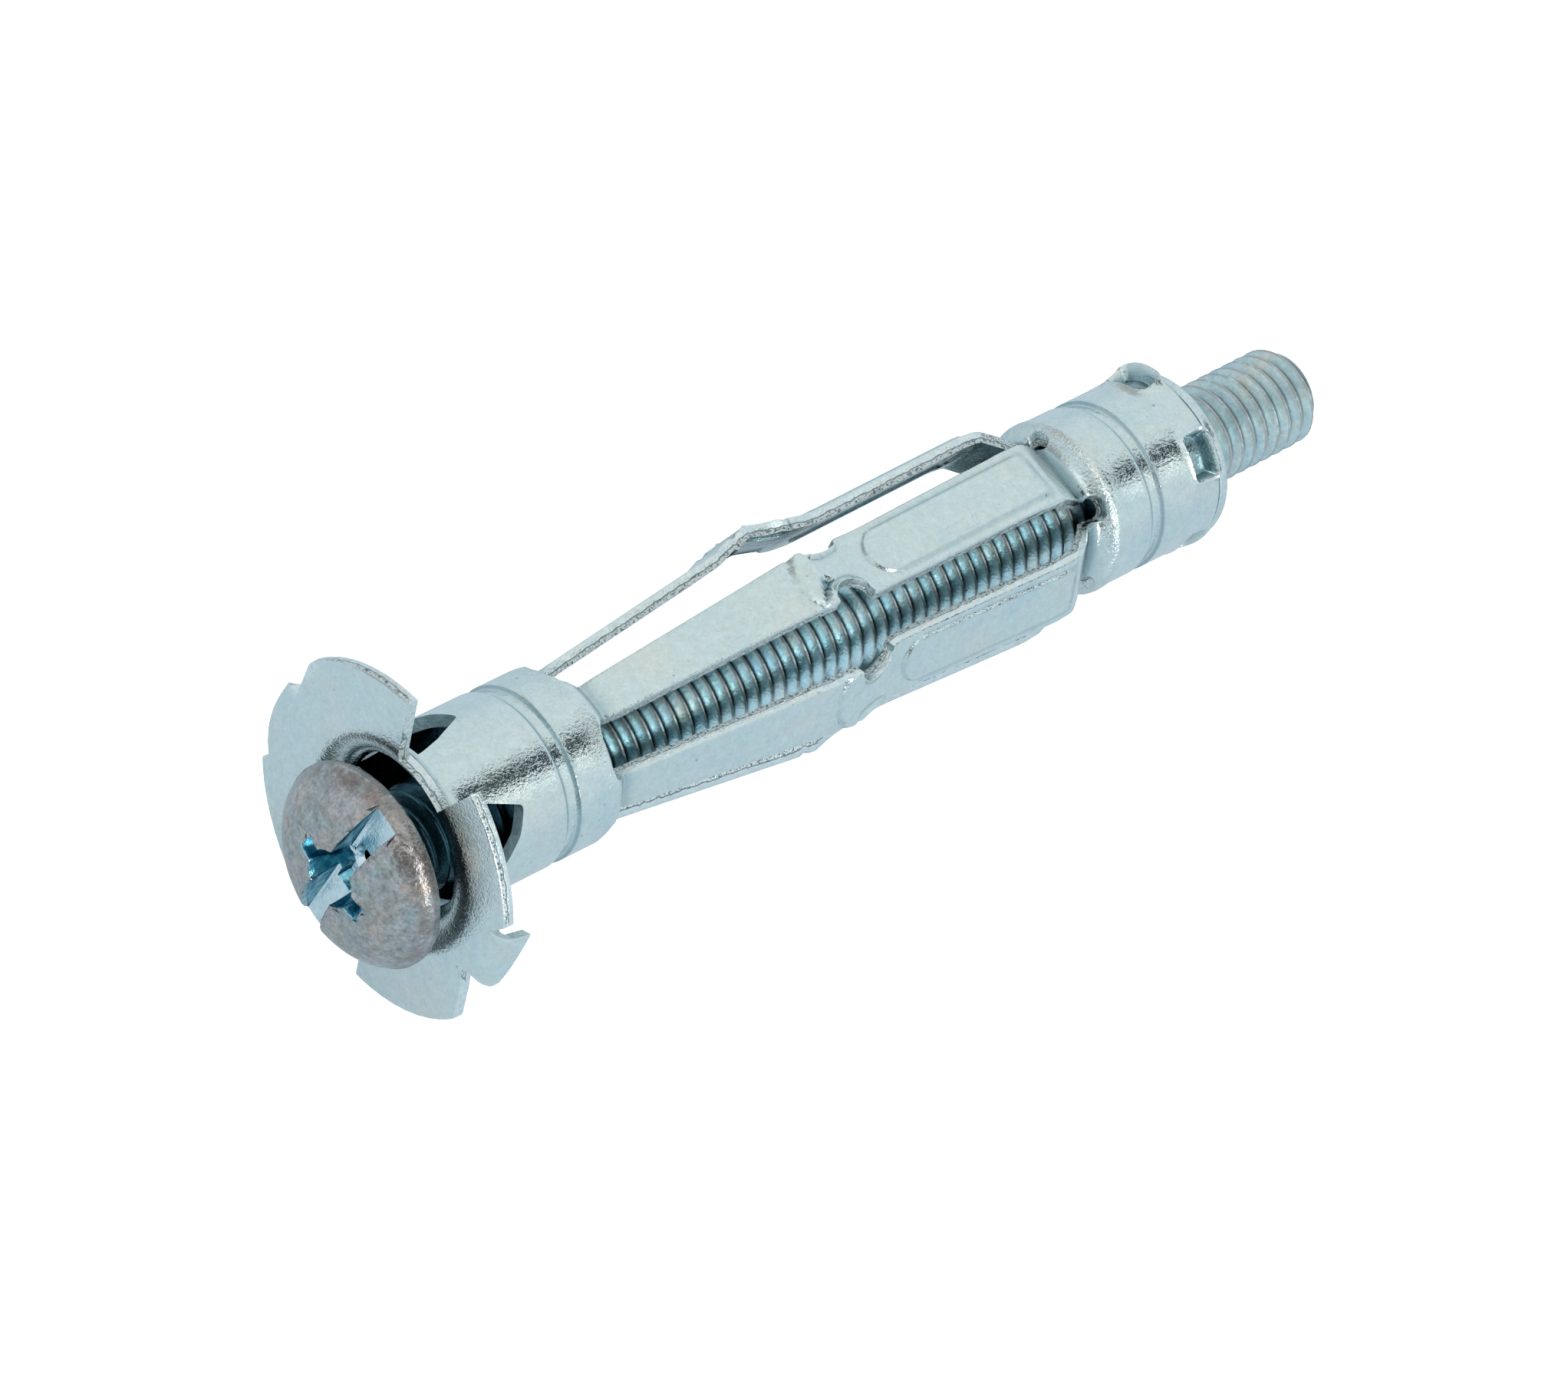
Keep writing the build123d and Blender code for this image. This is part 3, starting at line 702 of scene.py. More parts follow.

# %% Note where the finish and the painted shade change
# Numbers per corner: how far through the sheet it lies, how much painted shade it gets inside the tube,
# where the metal was drawn most, and how much painted dark teal shade it gets in a groove, fold, pocket
# or at the seam by the rear end.
p = points_of(sleeve)
r, z = np.hypot(p[:, 0], p[:, 1]), p[:, 2]
clock = np.degrees(np.arctan2(p[:, 1], p[:, 0]))
t = np.empty(len(p))
sleeve.data.attributes["through_sheet"].data.foreach_get("value", t)
bend_t = (np.hypot(r - BEND_AT[0], z - BEND_AT[1]) - OUTSIDE) / SHEET
t_flat = np.where(r > BEND_AT[0], 1 - z / SHEET, bend_t)
t_front = np.where(z > BEND_AT[1], (COLLAR_R - r) / SHEET, t_flat)
in_front = (z < 5.2) & (r < SKIN_R - 1.2)
t = np.where(in_front, np.clip(t_front, 0, 1), t)
point_value(sleeve, "through_sheet", t)
# Painted shade inside the tube: full inside the collars, a third between them, where the slots open the
# tube, and fading out at the flange's mouth.
shade_in_tube = smooth((t - 0.25) / 0.5) * (smooth((z - 0.35) / 1.0) * (r < BEND_AT[0]))
point_value(sleeve, "painted_tube_shade", shade_in_tube * np.where((z > 9.6) & (z < 41.2), 0.32, 1.0))
off_leg = np.radians((clock - LEG_CLOCK + STEP / 2) % STEP - STEP / 2)
across = r * np.sin(off_leg)
al = np.abs(across)
# Painted shade: dark lines at the grooves, round the raised panel and beside the bites' lips, the waist
# facet, the crease, the rear valley, the neck, the pockets and the seam at the rear end, all on the
# outer skin only.
fold = sum(0.75 * ridge_at(z - g + 0.26, 0.055) + 0.7 * ridge_at(z - g - 0.38, 0.05) for g in GROOVES)
on_panel = np.minimum(np.minimum(z - panel_nose(al), PANEL[1] - z), PANEL[2] - al)
fold = fold + 0.8 * ridge_at(on_panel, 0.05) * (z > 26) * (z < 38.5)
leg = np.rint((clock - LEG_CLOCK) / STEP).astype(int) % LEGS
deep = np.where(off_leg < 0, bite_before[leg], bite_after[leg])
from_edge = half_width(z, deep) - al
fold = fold + 0.6 * deep * ridge_at(from_edge - 0.27, 0.08) * (np.abs(z - BITE_S) < BITE_HALF * 0.9)
fold = fold + 0.8 * waist_facet(z, across) * (leg == UPPER_LEG)
at_crease = (al > 0.2) & (al < 1.5) & (z < 23.6)
fold = fold + 0.35 * ridge_at(behind_crease(z, al) - 0.12, 0.08) * at_crease
fold = fold + 0.7 * ridge_at(z - 39.95, 0.42) * (z > 38.5) + 0.35 * ridge_at(z - 11.0, 0.3)
pocket = stake_pocket(z, stake_arc(clock - LEG_CLOCK)) * (z > 45.8)
fold = fold + 0.66 * np.clip(-pocket / 0.4, 0, 1) + 1.2 * ridge_at(z - SLEEVE_END - 0.01, 0.06)
point_value(sleeve, "fold_shade", np.clip(fold, 0, 1) * (1 - smooth((t - 0.02) / 0.2)))
ridges = ridge_at(z - 40.95, 0.3) + 0.55 * ridge_at(z - 9.6, 0.5)
point_value(sleeve, "drawn_ridge", np.clip(ridges, 0, 1))
smoothed(sleeve, 38)
laid_down(sleeve)
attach(sleeve, "anchor")
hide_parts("sleeve")

# %% [markdown]
# The screw
# The screw is a pan head with a cross and a straight slot, on a metric thread of 0.8 mm pitch. The
# head is turned, and the recess is cut with tapered blocks, whose edges then get a fine bevel. The
# thread is one tooth's outline swept by the Screw modifier, once round for each pitch, which is how
# a lathe cuts it. Its tip is clamped to a cone, so the last turns fade out as on a real screw.

# %% Turn the head
HEAD_R, HEAD_UNDER, HEAD_HIGH = 4.82, -0.85, 2.42
dome = [(2.2, HEAD_UNDER + 0.02), (3.6, HEAD_UNDER), (HEAD_R - 0.16, HEAD_UNDER),
        (HEAD_R - 0.05, HEAD_UNDER - 0.05), (HEAD_R, HEAD_UNDER - 0.18), (HEAD_R, HEAD_UNDER - 0.4)]
for a in [math.radians(a) for a in (*range(10, 87, 4), 88)]:
    rise = (HEAD_HIGH - 0.02) * math.sin(a) ** 0.97
    dome.append((HEAD_R * math.cos(a) ** 0.92, HEAD_UNDER - 0.02 - rise))
screw = turned_piece("screw_skin", dome, 96)
finishes(screw, "head_plate", "recess_plate")
RECESS = 1                                        # the second of these material slots
print("head rings:", len(dome))

# %% Cut the recess
SLOT_CLOCK, SLOT_WIDE, SLOT_DEEP, OFF_CENTRE = 58.0, 1.36, 1.5, 0.4
CROSS_DEEP, CROSS_TALL = 2.2, 3.35
top = HEAD_UNDER - HEAD_HIGH


def block(name, size, middle):
    """A cube that is scaled and moved to its middle's place."""
    obj = fresh(bpy.ops.mesh.primitive_cube_add, name, size=1, location=(0, 0, 0))
    set_points(obj, points_of(obj) * size + middle)
    return obj


def off_centre(tool):
    set_points(tool, points_of(tool) + (OFF_CENTRE, 0, 0))
    return tool


def recessed(tool):
    """Turns a tool to the slot's clock angle and cuts it out of the head."""
    cut(screw, lined(spun(tool, SLOT_CLOCK), screw, RECESS))


slot_size = (2 * HEAD_R + 2, SLOT_WIDE, SLOT_DEEP + 2)
recessed(block("slot_tool", slot_size, (OFF_CENTRE, 0, top + SLOT_DEEP / 2 - 1)))
for k in (0, 90):
    arm = block("cross_tool", (5.0, 1.0, CROSS_TALL), (0, 0, top + CROSS_DEEP - CROSS_TALL / 2))
    q = points_of(arm)
    q[q[:, 2] > top + CROSS_DEEP - 1e-3] *= (0.5, 0.8, 1)     # the recess narrows toward its bottom
    set_points(arm, q)
    recessed(off_centre(spun(arm, k)))
heart_rings = [(1.42, top - 0.5), (1.3, top + 0.6), (0.8, top + CROSS_DEEP), (0.25, top + 2.5)]
recessed(off_centre(turned_piece("heart_tool", heart_rings, 24)))

# %% Round the recess's edges
# Where the slot runs out of the dome its wall has no height, so the bevel stops short of there.
BEVEL_REACH = 3.9
with editing(screw):
    bpy.ops.mesh.select_mode(type="EDGE")
    bpy.ops.mesh.select_all(action="DESELECT")
    bpy.ops.mesh.edges_select_sharp(sharpness=math.radians(42))
q = points_of(screw)
from_axis = np.hypot(q[:, 0], q[:, 1])
for e in screw.data.edges:
    if e.select and max(from_axis[v] for v in e.vertices) > BEVEL_REACH:
        e.select = False
print("edges to round:", sum(e.select for e in screw.data.edges))
bpy.ops.object.mode_set(mode="EDIT")
bpy.ops.transform.edge_bevelweight(value=1.0)
bpy.ops.mesh.select_mode(type="VERT")
bpy.ops.object.mode_set(mode="OBJECT")
applied(screw, "BEVEL", width=0.07, segments=2, limit_method="WEIGHT", use_clamp_overlap=False,
        miter_outer="MITER_ARC")
smoothed(screw, 35)
print("head faces:", len(screw.data.polygons))

# %% Cut the thread
PITCH, CREST, ROOT, SHANK_END, STEPS = 0.8, 2.44, 1.97, 56.6, 40
tooth = [(CREST, 0.0), (CREST, 0.09), (CREST - 0.03, 0.12), (ROOT + 0.10, 0.33), (ROOT + 0.03, 0.38),
         (ROOT, 0.445), (ROOT + 0.03, 0.51), (ROOT + 0.10, 0.56), (CREST - 0.03, 0.77), (CREST, PITCH)]
thread = fresh(bpy.ops.mesh.primitive_circle_add, "thread", vertices=len(tooth), radius=1,
               fill_type="NOTHING")
set_points(thread, [(r, 0, z - 1.0) for r, z in tooth])
dropped(thread, "EDGE", lambda e: {0, len(tooth) - 1} == set(e.vertices))
turns = int((SHANK_END + 2.0) / PITCH) + 1
applied(thread, "SCREW", axis="Z", angle=2 * math.pi, screw_offset=PITCH, iterations=turns, steps=STEPS,
        render_steps=STEPS, use_merge_vertices=True, merge_threshold=0.001)
with editing(thread):
    bpy.ops.mesh.bisect(plane_co=(0, 0, SHANK_END), plane_no=(0, 0, 1), clear_outer=True, use_fill=True)
q = points_of(thread)
r = np.hypot(q[:, 0], q[:, 1])
limit = np.interp(q[:, 2], [SHANK_END - 0.5, SHANK_END - 0.05, SHANK_END], [CREST, 2.06, 2.0])
q[:, :2] *= np.where(r > limit, limit / np.maximum(r, 1e-6), 1.0)[:, None]
set_points(thread, q)
outward(thread)
smoothed(thread, 40)
print("thread turns:", turns, "faces:", len(thread.data.polygons))
finishes(thread, "thread_plate")
joined(screw, thread)
q = points_of(screw)
r = np.hypot(q[:, 0], q[:, 1])
point_value(screw, "thread_height", np.clip((r - ROOT) / (CREST - ROOT), 0, 1))
point_value(screw, "from_axis", r)
point_value(screw, "along_screw", q[:, 2])
laid_down(screw, LAY @ LEANING)
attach(screw, "screw")
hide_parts("screw")

# %% [markdown]
# The nut
# Only the nut's rim shows, behind the collar's end, with the thread coming out of it. It is turned
# from one closed outline: body, waist for the stakes, rim, and the bore with its lead-in.

# %% Turn the nut
BORE = COLLAR_R - SHEET
nut_rings = [(2.5, 44.45), (BORE - 0.05, 44.45), (BORE - 0.05, 46.2), (3.1, 46.35), (3.1, 47.72),
             (BORE - 0.06, 47.8)]
nut_rings += [(r, SLEEVE_END + z) for r, z in (
    (4.06, 0.02), (4.15, 0.06), (4.18, 0.14), (4.18, 0.46), (4.14, 0.57), (4.04, RIM - 0.01), (3.9, RIM),
    (2.9, RIM), (2.8, RIM - 0.02), (2.5, RIM - 0.3))]
nut_rings.append(nut_rings[0])
nut = turned_piece("nut_skin", nut_rings, 96, loop=True)
finishes(nut, "nut_plate")
smoothed(nut, 38)
laid_down(nut)
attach(nut, "anchor")
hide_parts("nut")

# %% [markdown]
# Stage and light
# The photograph was made in a bright tent: white nearly all round, a little bluer low down, with a
# dark gap high on the far side, which both collars mirror as a dark speckled streak. The world's
# colour is a function of direction, so it needs no lamps for that. Bare metal has hardly any colour
# but what it mirrors, so glossy rays see this white tent too. Two soft boxes add the plain daylight.

# %% World
world = bpy.data.worlds.new("tent")
scene.world = world
world.use_nodes = True
sky = world.node_tree
sky.nodes.clear()


def node(tree, kind, **values):
    """Adds a node; values are set on its input sockets by name, or on the node itself."""
    n = tree.nodes.new(kind)
    for key, value in values.items():
        name = key.replace("_", " ")
        if name in n.inputs:
            n.inputs[name].default_value = value
        else:
            setattr(n, key, value)
    return n


def wire(tree, target, *sources):
    """Links the sources to a node's inputs, in their order. Gives its output, if it has one."""
    for source, socket in zip(sources, target.inputs):
        tree.links.new(source, socket)
    return target.outputs[0] if target.outputs else None


def camera_sees(tree, lit, shown):
    """Camera and transmission rays meet the second shader, all other rays the first."""
    ray = node(tree, "ShaderNodeLightPath").outputs
    seen = wire(tree, node(tree, "ShaderNodeMath", operation="MAXIMUM"),
                ray["Is Camera Ray"], ray["Is Transmission Ray"])
    return wire(tree, node(tree, "ShaderNodeMixShader"), seen, lit, shown)


direction = node(sky, "ShaderNodeTexCoord").outputs["Generated"]


def toward(vector, begins, ends):
    """A soft spot in the tent: 0 at the cosine begins, 1 at the cosine ends."""
    d = node(sky, "ShaderNodeVectorMath", operation="DOT_PRODUCT")
    d.inputs[1].default_value = Vector(vector).normalized()
    sky.links.new(direction, d.inputs[0])
    r = node(sky, "ShaderNodeMapRange", interpolation_type="SMOOTHSTEP", From_Min=begins, From_Max=ends)
    sky.links.new(d.outputs["Value"], r.inputs["Value"])
    return r.outputs["Result"]


# Each spot: direction, the two cosines, colour. The first brightens the top, then come the dark gap,
# a smudge beside the head, a bright spot and the darker far side.
spots = [((0, 0, 1), 0.3, 0.9, (0.88, 0.95, 0.96)),
         ((0.605, -0.28, 0.745), 0.958, 0.978, (0.01, 0.03, 0.045)),
         ((-0.66, -0.48, 0.56), 0.90, 0.97, (0.20, 0.18, 0.17)),
         ((0.62, -0.47, 0.63), 0.986, 0.996, (1.4, 1.45, 1.45)),
         ((-0.1, 0.88, 0.47), 0.78, 0.96, (0.50, 0.52, 0.53))]
MIX_A, MIX_B, MIX_RESULT = 6, 7, 2                # the colour sockets of a Mix node
tent = None
for where, begins, ends, color in spots:
    m = node(sky, "ShaderNodeMix", data_type="RGBA")
    sky.links.new(toward(where, begins, ends), m.inputs["Factor"])
    if tent is None:
        m.inputs[MIX_A].default_value = (0.79, 0.90, 0.95, 1)
    else:
        sky.links.new(tent, m.inputs[MIX_A])
    m.inputs[MIX_B].default_value = (*color, 1)
    tent = m.outputs[MIX_RESULT]
tent_light = wire(sky, node(sky, "ShaderNodeBackground"), tent)
white = node(sky, "ShaderNodeBackground", Color=(1, 1, 1, 1)).outputs[0]
wire(sky, node(sky, "ShaderNodeOutputWorld"), camera_sees(sky, tent_light, white))

# %% Floor
# White paper to the camera. Metal sees the same lit paper, with the bluish cast that the anchor's
# lower surfaces show.
floor = fresh(bpy.ops.mesh.primitive_plane_add, "floor", size=3.0, location=(0, 0, 0))
finishes(floor, "white_sweep")
sweep = bpy.data.materials["white_sweep"]
sweep.use_nodes = True
ft = sweep.node_tree
ft.nodes.clear()


def glowing(paper, color, strength):
    """Paper that also gives off light."""
    glow = node(ft, "ShaderNodeEmission", Color=color, Strength=strength).outputs[0]
    return wire(ft, node(ft, "ShaderNodeAddShader"), paper, glow)


paper = node(ft, "ShaderNodeBsdfDiffuse", Color=(0.9, 0.9, 0.9, 1)).outputs[0]
dim = node(ft, "ShaderNodeBsdfDiffuse", Color=(0.37, 0.44, 0.49, 1)).outputs[0]
cool = glowing(dim, (0.48, 0.535, 0.58, 1), 0.68)
bright = glowing(paper, (1, 1, 1, 1), 0.80)
glossy = node(ft, "ShaderNodeLightPath").outputs["Is Glossy Ray"]
mirrored = wire(ft, node(ft, "ShaderNodeMixShader"), glossy, dim, cool)
wire(ft, node(ft, "ShaderNodeOutputMaterial"), camera_sees(ft, mirrored, bright))


# %% Soft boxes
def softbox(name, place, size, power, color):
    """An area lamp that looks at the anchor."""
    data = bpy.data.lights.new(name, "AREA")
    data.shape = "RECTANGLE"
    data.size, data.size_y = size
    data.energy = power
    data.color = color
    lamp = bpy.data.objects.new(name, data)
    lamp.location = place
    lamp.rotation_euler = (-Vector(place)).to_track_quat("-Z", "Y").to_euler()
    scene.collection.objects.link(lamp)


softbox("top_box", (-0.12, 0.02, 0.48), (0.30, 0.30), 0.12, (1.0, 1.0, 0.97))
softbox("side_box", (-0.07, -0.42, 0.27), (0.09, 0.36), 0.75, (1.0, 0.99, 0.97))
scene.view_settings.view_transform = "Standard"

# %% [markdown]
# Effects that several finishes share
# Plated steel is never one flat grey. Its colour drifts in clouds, its surface is grained because
# the sheet was rolled and tumbled, and its edges are rubbed; the edges' lightening is partly painted
# highlight, and one effect also paints shade into hollows. Each of these effects is a node group
# with named inputs, built once and then used by every finish with values of its own. A group here
# works in millimetres on Object coordinates, so its detail keeps its real scale on every piece.

# %% Helpers for node groups
def effect(name, inputs, outputs):
    """A shader node group with named sockets. Gives the tree, its inputs and its output node."""
    tree = bpy.data.node_groups.new(name, "ShaderNodeTree")
    kinds = {float: "NodeSocketFloat", tuple: "NodeSocketColor"}
    for label, value in inputs.items():
        s = tree.interface.new_socket(name=label, in_out="INPUT", socket_type=kinds[type(value)])
        s.default_value = (*value, 1) if isinstance(value, tuple) else value
    for label, kind in outputs.items():
        tree.interface.new_socket(name=label, in_out="OUTPUT", socket_type=kinds[kind])
    return tree, tree.nodes.new("NodeGroupInput").outputs, tree.nodes.new("NodeGroupOutput").inputs


def plug(tree, value, socket):
    """Links an output, or sets a plain value."""
    if isinstance(value, bpy.types.NodeSocket):
        tree.links.new(value, socket)
    elif isinstance(value, tuple):
        socket.default_value = (*value, 1) if len(socket.default_value) == 4 else value
    else:
        socket.default_value = value


def calc(tree, operation, *values, clamp=False):
    m = node(tree, "ShaderNodeMath", operation=operation, use_clamp=clamp)
    for value, socket in zip(values, m.inputs):
        plug(tree, value, socket)
    return m.outputs[0]


def times(tree, a, b):
    return calc(tree, "MULTIPLY", a, b)


def centred(tree, value):
    return calc(tree, "SUBTRACT", value, 0.5)


def between(tree, value, low, high, out_low=0.0, out_high=1.0):
    """A smooth step from low to high."""
    m = node(tree, "ShaderNodeMapRange", interpolation_type="SMOOTHSTEP")
    for v, socket in zip((value, low, high, out_low, out_high), m.inputs):
        plug(tree, v, socket)
    return m.outputs["Result"]


def mixed(tree, share, a, b, mode="MIX"):
    m = node(tree, "ShaderNodeMix", data_type="RGBA", blend_type=mode)
    for value, name in ((share, "Factor"), (a, MIX_A), (b, MIX_B)):
        plug(tree, value, m.inputs[name])
    return m.outputs[MIX_RESULT]


def in_mm(tree, stretch=(1.0, 1.0, 1.0)):
    """Object coordinates in millimetres, stretched where a pattern runs along the anchor."""
    m = node(tree, "ShaderNodeMapping", Scale=[1000.0 * v for v in stretch])
    return wire(tree, m, node(tree, "ShaderNodeTexCoord").outputs["Object"])


def noise(tree, size, detail=3.0, rough=0.55, twist=0.0, place=None):
    """Noise with features of about the given size in mm."""
    n = node(tree, "ShaderNodeTexNoise")
    wire(tree, n, place or in_mm(tree))
    per_mm = 1.0 / size if isinstance(size, float) else calc(tree, "DIVIDE", 1.0, size)
    settings = {"Scale": per_mm, "Detail": detail, "Roughness": rough, "Distortion": twist}
    for name, value in settings.items():
        plug(tree, value, n.inputs[name])
    return n.outputs["Fac"]


def stored(tree, name):
    """A number that was stored at the corners."""
    return node(tree, "ShaderNodeAttribute", attribute_name=name).outputs["Fac"]


def group(tree, effect_tree, **values):
    """Places a shared effect in a material. A value may be a number, a colour or another output."""
    g = node(tree, "ShaderNodeGroup", node_tree=effect_tree)
    for key, value in values.items():
        plug(tree, value, g.inputs[key.replace("_", " ")])
    return g.outputs

# %% [markdown]
# Clouds in the plating
# Zinc and its clear blue coating are not equally thick everywhere. Slow noise moves the colour
# between a cool and a warm shade, finer noise mottles it, and a few dark freckles sit in the pits.

# %% Effect: clouds
clouds, put, out = effect("plating_clouds",
                          {"Base": (0.6, 0.6, 0.6), "Cool": (0.5, 0.6, 0.7), "Warm": (0.7, 0.65, 0.6),
                           "Cloud Size": 3.0, "Cloud Share": 0.5, "Mottle": 0.1, "Freckles": 0.3},
                          {"Color": tuple})
here = in_mm(clouds)
slow = noise(clouds, put["Cloud Size"], 4.0, 0.6, 0.4, here)
cool_share = times(clouds, between(clouds, slow, 0.48, 0.30), put["Cloud Share"])
warm_share = times(clouds, between(clouds, slow, 0.52, 0.70), put["Cloud Share"])
tone = mixed(clouds, warm_share, mixed(clouds, cool_share, put["Base"], put["Cool"]), put["Warm"])
fine = noise(clouds, 0.42, 3.0, 0.65, place=here)
finer = noise(clouds, 0.16, 2.0, 0.6, place=here)
speck = calc(clouds, "ADD", centred(clouds, fine), times(clouds, centred(clouds, finer), 0.8))
light = calc(clouds, "MULTIPLY_ADD", times(clouds, speck, put["Mottle"]), 3.0, 1.0)
scaled = node(clouds, "ShaderNodeVectorMath", operation="SCALE")
clouds.links.new(light, scaled.inputs["Scale"])
lit_tone = wire(clouds, scaled, tone)
from_middle = wire(clouds, node(clouds, "ShaderNodeTexVoronoi", Scale=1.25), here)
patchy = between(clouds, noise(clouds, 2.6, 2.0, place=here), 0.46, 0.66)
from_cell = calc(clouds, "ADD", from_middle, times(clouds, finer, 0.16))
freckle = times(clouds, times(clouds, between(clouds, from_cell, 0.21, 0.13), patchy), put["Freckles"])
plug(clouds, mixed(clouds, freckle, lit_tone, (0.07, 0.09, 0.10)), out["Color"])
print("clouds:", len(clouds.nodes), "nodes")

# %% [markdown]
# Grain of the metal
# Under the plating the steel is grained like orange peel, with small dents and a few fine scratches
# along the rolling direction. It is too small to model, so it is a height that feeds a Bump node.
# Where the dark gap of the tent is mirrored, this grain breaks the streak into speckles.

# %% Effect: grain
grain, put, out = effect("zinc_grain",
                         {"Grain Size": 0.15, "Grain": 1.0, "Dents": 0.5, "Scratches": 0.3},
                         {"Height": float, "Dullness": float})
here = in_mm(grain)
peel = noise(grain, put["Grain Size"], 2.0, 0.6, place=here)
wide_peel = noise(grain, 0.55, 2.0, 0.5, place=here)
from_middle = wire(grain, node(grain, "ShaderNodeTexVoronoi", feature="SMOOTH_F1", Scale=1.5), here)
dent = between(grain, from_middle, 0.0, 0.42, -1.0, 0.0)
lines = noise(grain, 1.0, 3.0, 0.6, place=in_mm(grain, (0.16, 4.5, 4.5)))
scratch = between(grain, lines, 0.64, 0.72, 0.0, -1.0)
total = times(grain, centred(grain, peel), put["Grain"])
for height, strength in ((centred(grain, wide_peel), times(grain, put["Grain"], 0.25)),
                         (dent, put["Dents"]), (scratch, put["Scratches"])):
    total = calc(grain, "MULTIPLY_ADD", height, strength, total)
plug(grain, total, out["Height"])
dull = centred(grain, noise(grain, 0.8, 3.0, place=here))
plug(grain, calc(grain, "MULTIPLY_ADD", dull, 0.22, times(grain, scratch, -0.12)), out["Dullness"])
print("grain:", len(grain.nodes), "nodes")

# %% [markdown]
# Rubbed edges, with painted highlights and painted shade in hollows
# Edges that knock together in the box lose their film first and shine. The same lightening also stands
# for the highlights that rounded edges catch, so it is partly painted light. Pointiness tells convex
# corners from hollows, and hollows are darkened as painted shade. A little noise keeps the lightened
# edge from being a drawn line.

# %% Effect: rub, painted edge highlight and painted hollow shade
edges_and_hollows, put, out = effect("edge_rub_highlight_and_hollow_shade", {"Rub": 0.5, "Hollow": 0.5}, {"Edge": float, "Hollow": float})
point = node(edges_and_hollows, "ShaderNodeNewGeometry").outputs["Pointiness"]
# The edge lightening: rubbed wear and painted highlight together.
sharp = times(edges_and_hollows, between(edges_and_hollows, point, 0.53, 0.60), between(edges_and_hollows, noise(edges_and_hollows, 0.3, 3.0), 0.34, 0.56))
plug(edges_and_hollows, times(edges_and_hollows, sharp, put["Rub"]), out["Edge"])
# Painted shade: concave corners darken.
plug(edges_and_hollows, times(edges_and_hollows, between(edges_and_hollows, point, 0.47, 0.40), put["Hollow"]), out["Hollow"])
print("rub:", len(edges_and_hollows.nodes), "nodes")

# %% [markdown]
# Colours of the passivated film
# The clear film on zinc is thin enough to show faint pink, gold and blue where it drifts in
# thickness. The effect multiplies a colour by a tint close to white, so it never glows.

# %% Effect: film tint
film, put, out = effect("film_tint", {"Color": (0.6, 0.6, 0.6), "Film": 0.5, "Drift": 0.0},
                        {"Color": tuple})
thick = calc(film, "ADD", noise(film, 1.9, 3.0, 0.55, 0.8), put["Drift"])
bands = node(film, "ShaderNodeValToRGB")
ramp = bands.color_ramp
ramp.interpolation = "B_SPLINE"
shades = [(0.0, (0.86, 0.98, 1.04)), (0.3, (1.0, 1.0, 1.0)), (0.42, (1.05, 0.95, 0.99)),
          (0.52, (1.03, 0.99, 0.90)), (0.62, (0.93, 1.0, 1.0)), (0.76, (1.06, 0.94, 0.97)),
          (1.0, (1.04, 0.95, 0.84))]
while len(ramp.elements) < len(shades):
    ramp.elements.new(0.5)
for e, (at, shade) in zip(ramp.elements, shades):
    e.position = at
    e.color = (*shade, 1)
tinted = mixed(film, 1.0, put["Color"], wire(film, bands, thick), "MULTIPLY")
plug(film, mixed(film, put["Film"], put["Color"], tinted), out["Color"])
print("film:", len(film.nodes), "nodes")


# %% A finish from its parts
def start(name):
    material = bpy.data.materials[name]
    material.use_nodes = True
    return material.node_tree


def plated(tree, base, cool, warm, size, share, mottle, freckles):
    """The plating's clouded colour."""
    return group(tree, clouds, Base=base, Cool=cool, Warm=warm, Cloud_Size=size, Cloud_Share=share,
                 Mottle=mottle, Freckles=freckles)["Color"]


def grained(tree, size, strength, dents, scratches):
    return group(tree, grain, Grain_Size=size, Grain=strength, Dents=dents, Scratches=scratches)


def metal(tree, color, rough, height, bump_mm=0.022):
    """Sets a plated metal's sockets; rough and color may come from nodes."""
    b = tree.nodes["Principled BSDF"]
    b.inputs["Metallic"].default_value = 1.0
    plug(tree, color, b.inputs["Base Color"])
    plug(tree, rough, b.inputs["Roughness"])
    raised = node(tree, "ShaderNodeBump", Strength=1.0, Distance=bump_mm / 1000)
    plug(tree, height, raised.inputs["Height"])
    tree.links.new(raised.outputs["Normal"], b.inputs["Normal"])


def grained_metal(tree, color, rough, grain_values, **settings):
    """A metal whose grain also changes how dull it is."""
    skin = grained(tree, *grain_values)
    duller = calc(tree, "ADD", skin["Dullness"], rough, clamp=True)
    metal(tree, color, duller, skin["Height"], **settings)
    print("finish:", len(tree.nodes), "nodes")

# %% [markdown]
# The sleeve's faces
# Bright zinc with a blue cast outside. Inside the tube it is painted darker and duller, as shade.
# Grooves, folds, the punched pockets and the rear seam get a painted dark teal shade, which the corners'
# stored numbers place exactly. Edges lighten, partly as rubbed wear and partly as painted highlights,
# and hollows get painted shade.

# %% Finish: sheet faces
t = start("plate_face")
tone = plated(t, (0.63, 0.71, 0.71), (0.56, 0.68, 0.71), (0.68, 0.70, 0.67), 3.2, 0.75, 0.10, 0.45)
tinted = group(t, film, Color=tone, Film=0.35)["Color"]
rub_and_shade = group(t, edges_and_hollows, Rub=0.55, Hollow=0.45)
# Edges lighten, partly as rubbed wear and partly as a painted highlight; hollows get painted shade.
color = mixed(t, rub_and_shade["Edge"], tinted, (0.80, 0.84, 0.82))
color = mixed(t, rub_and_shade["Hollow"], color, (0.16, 0.28, 0.32))
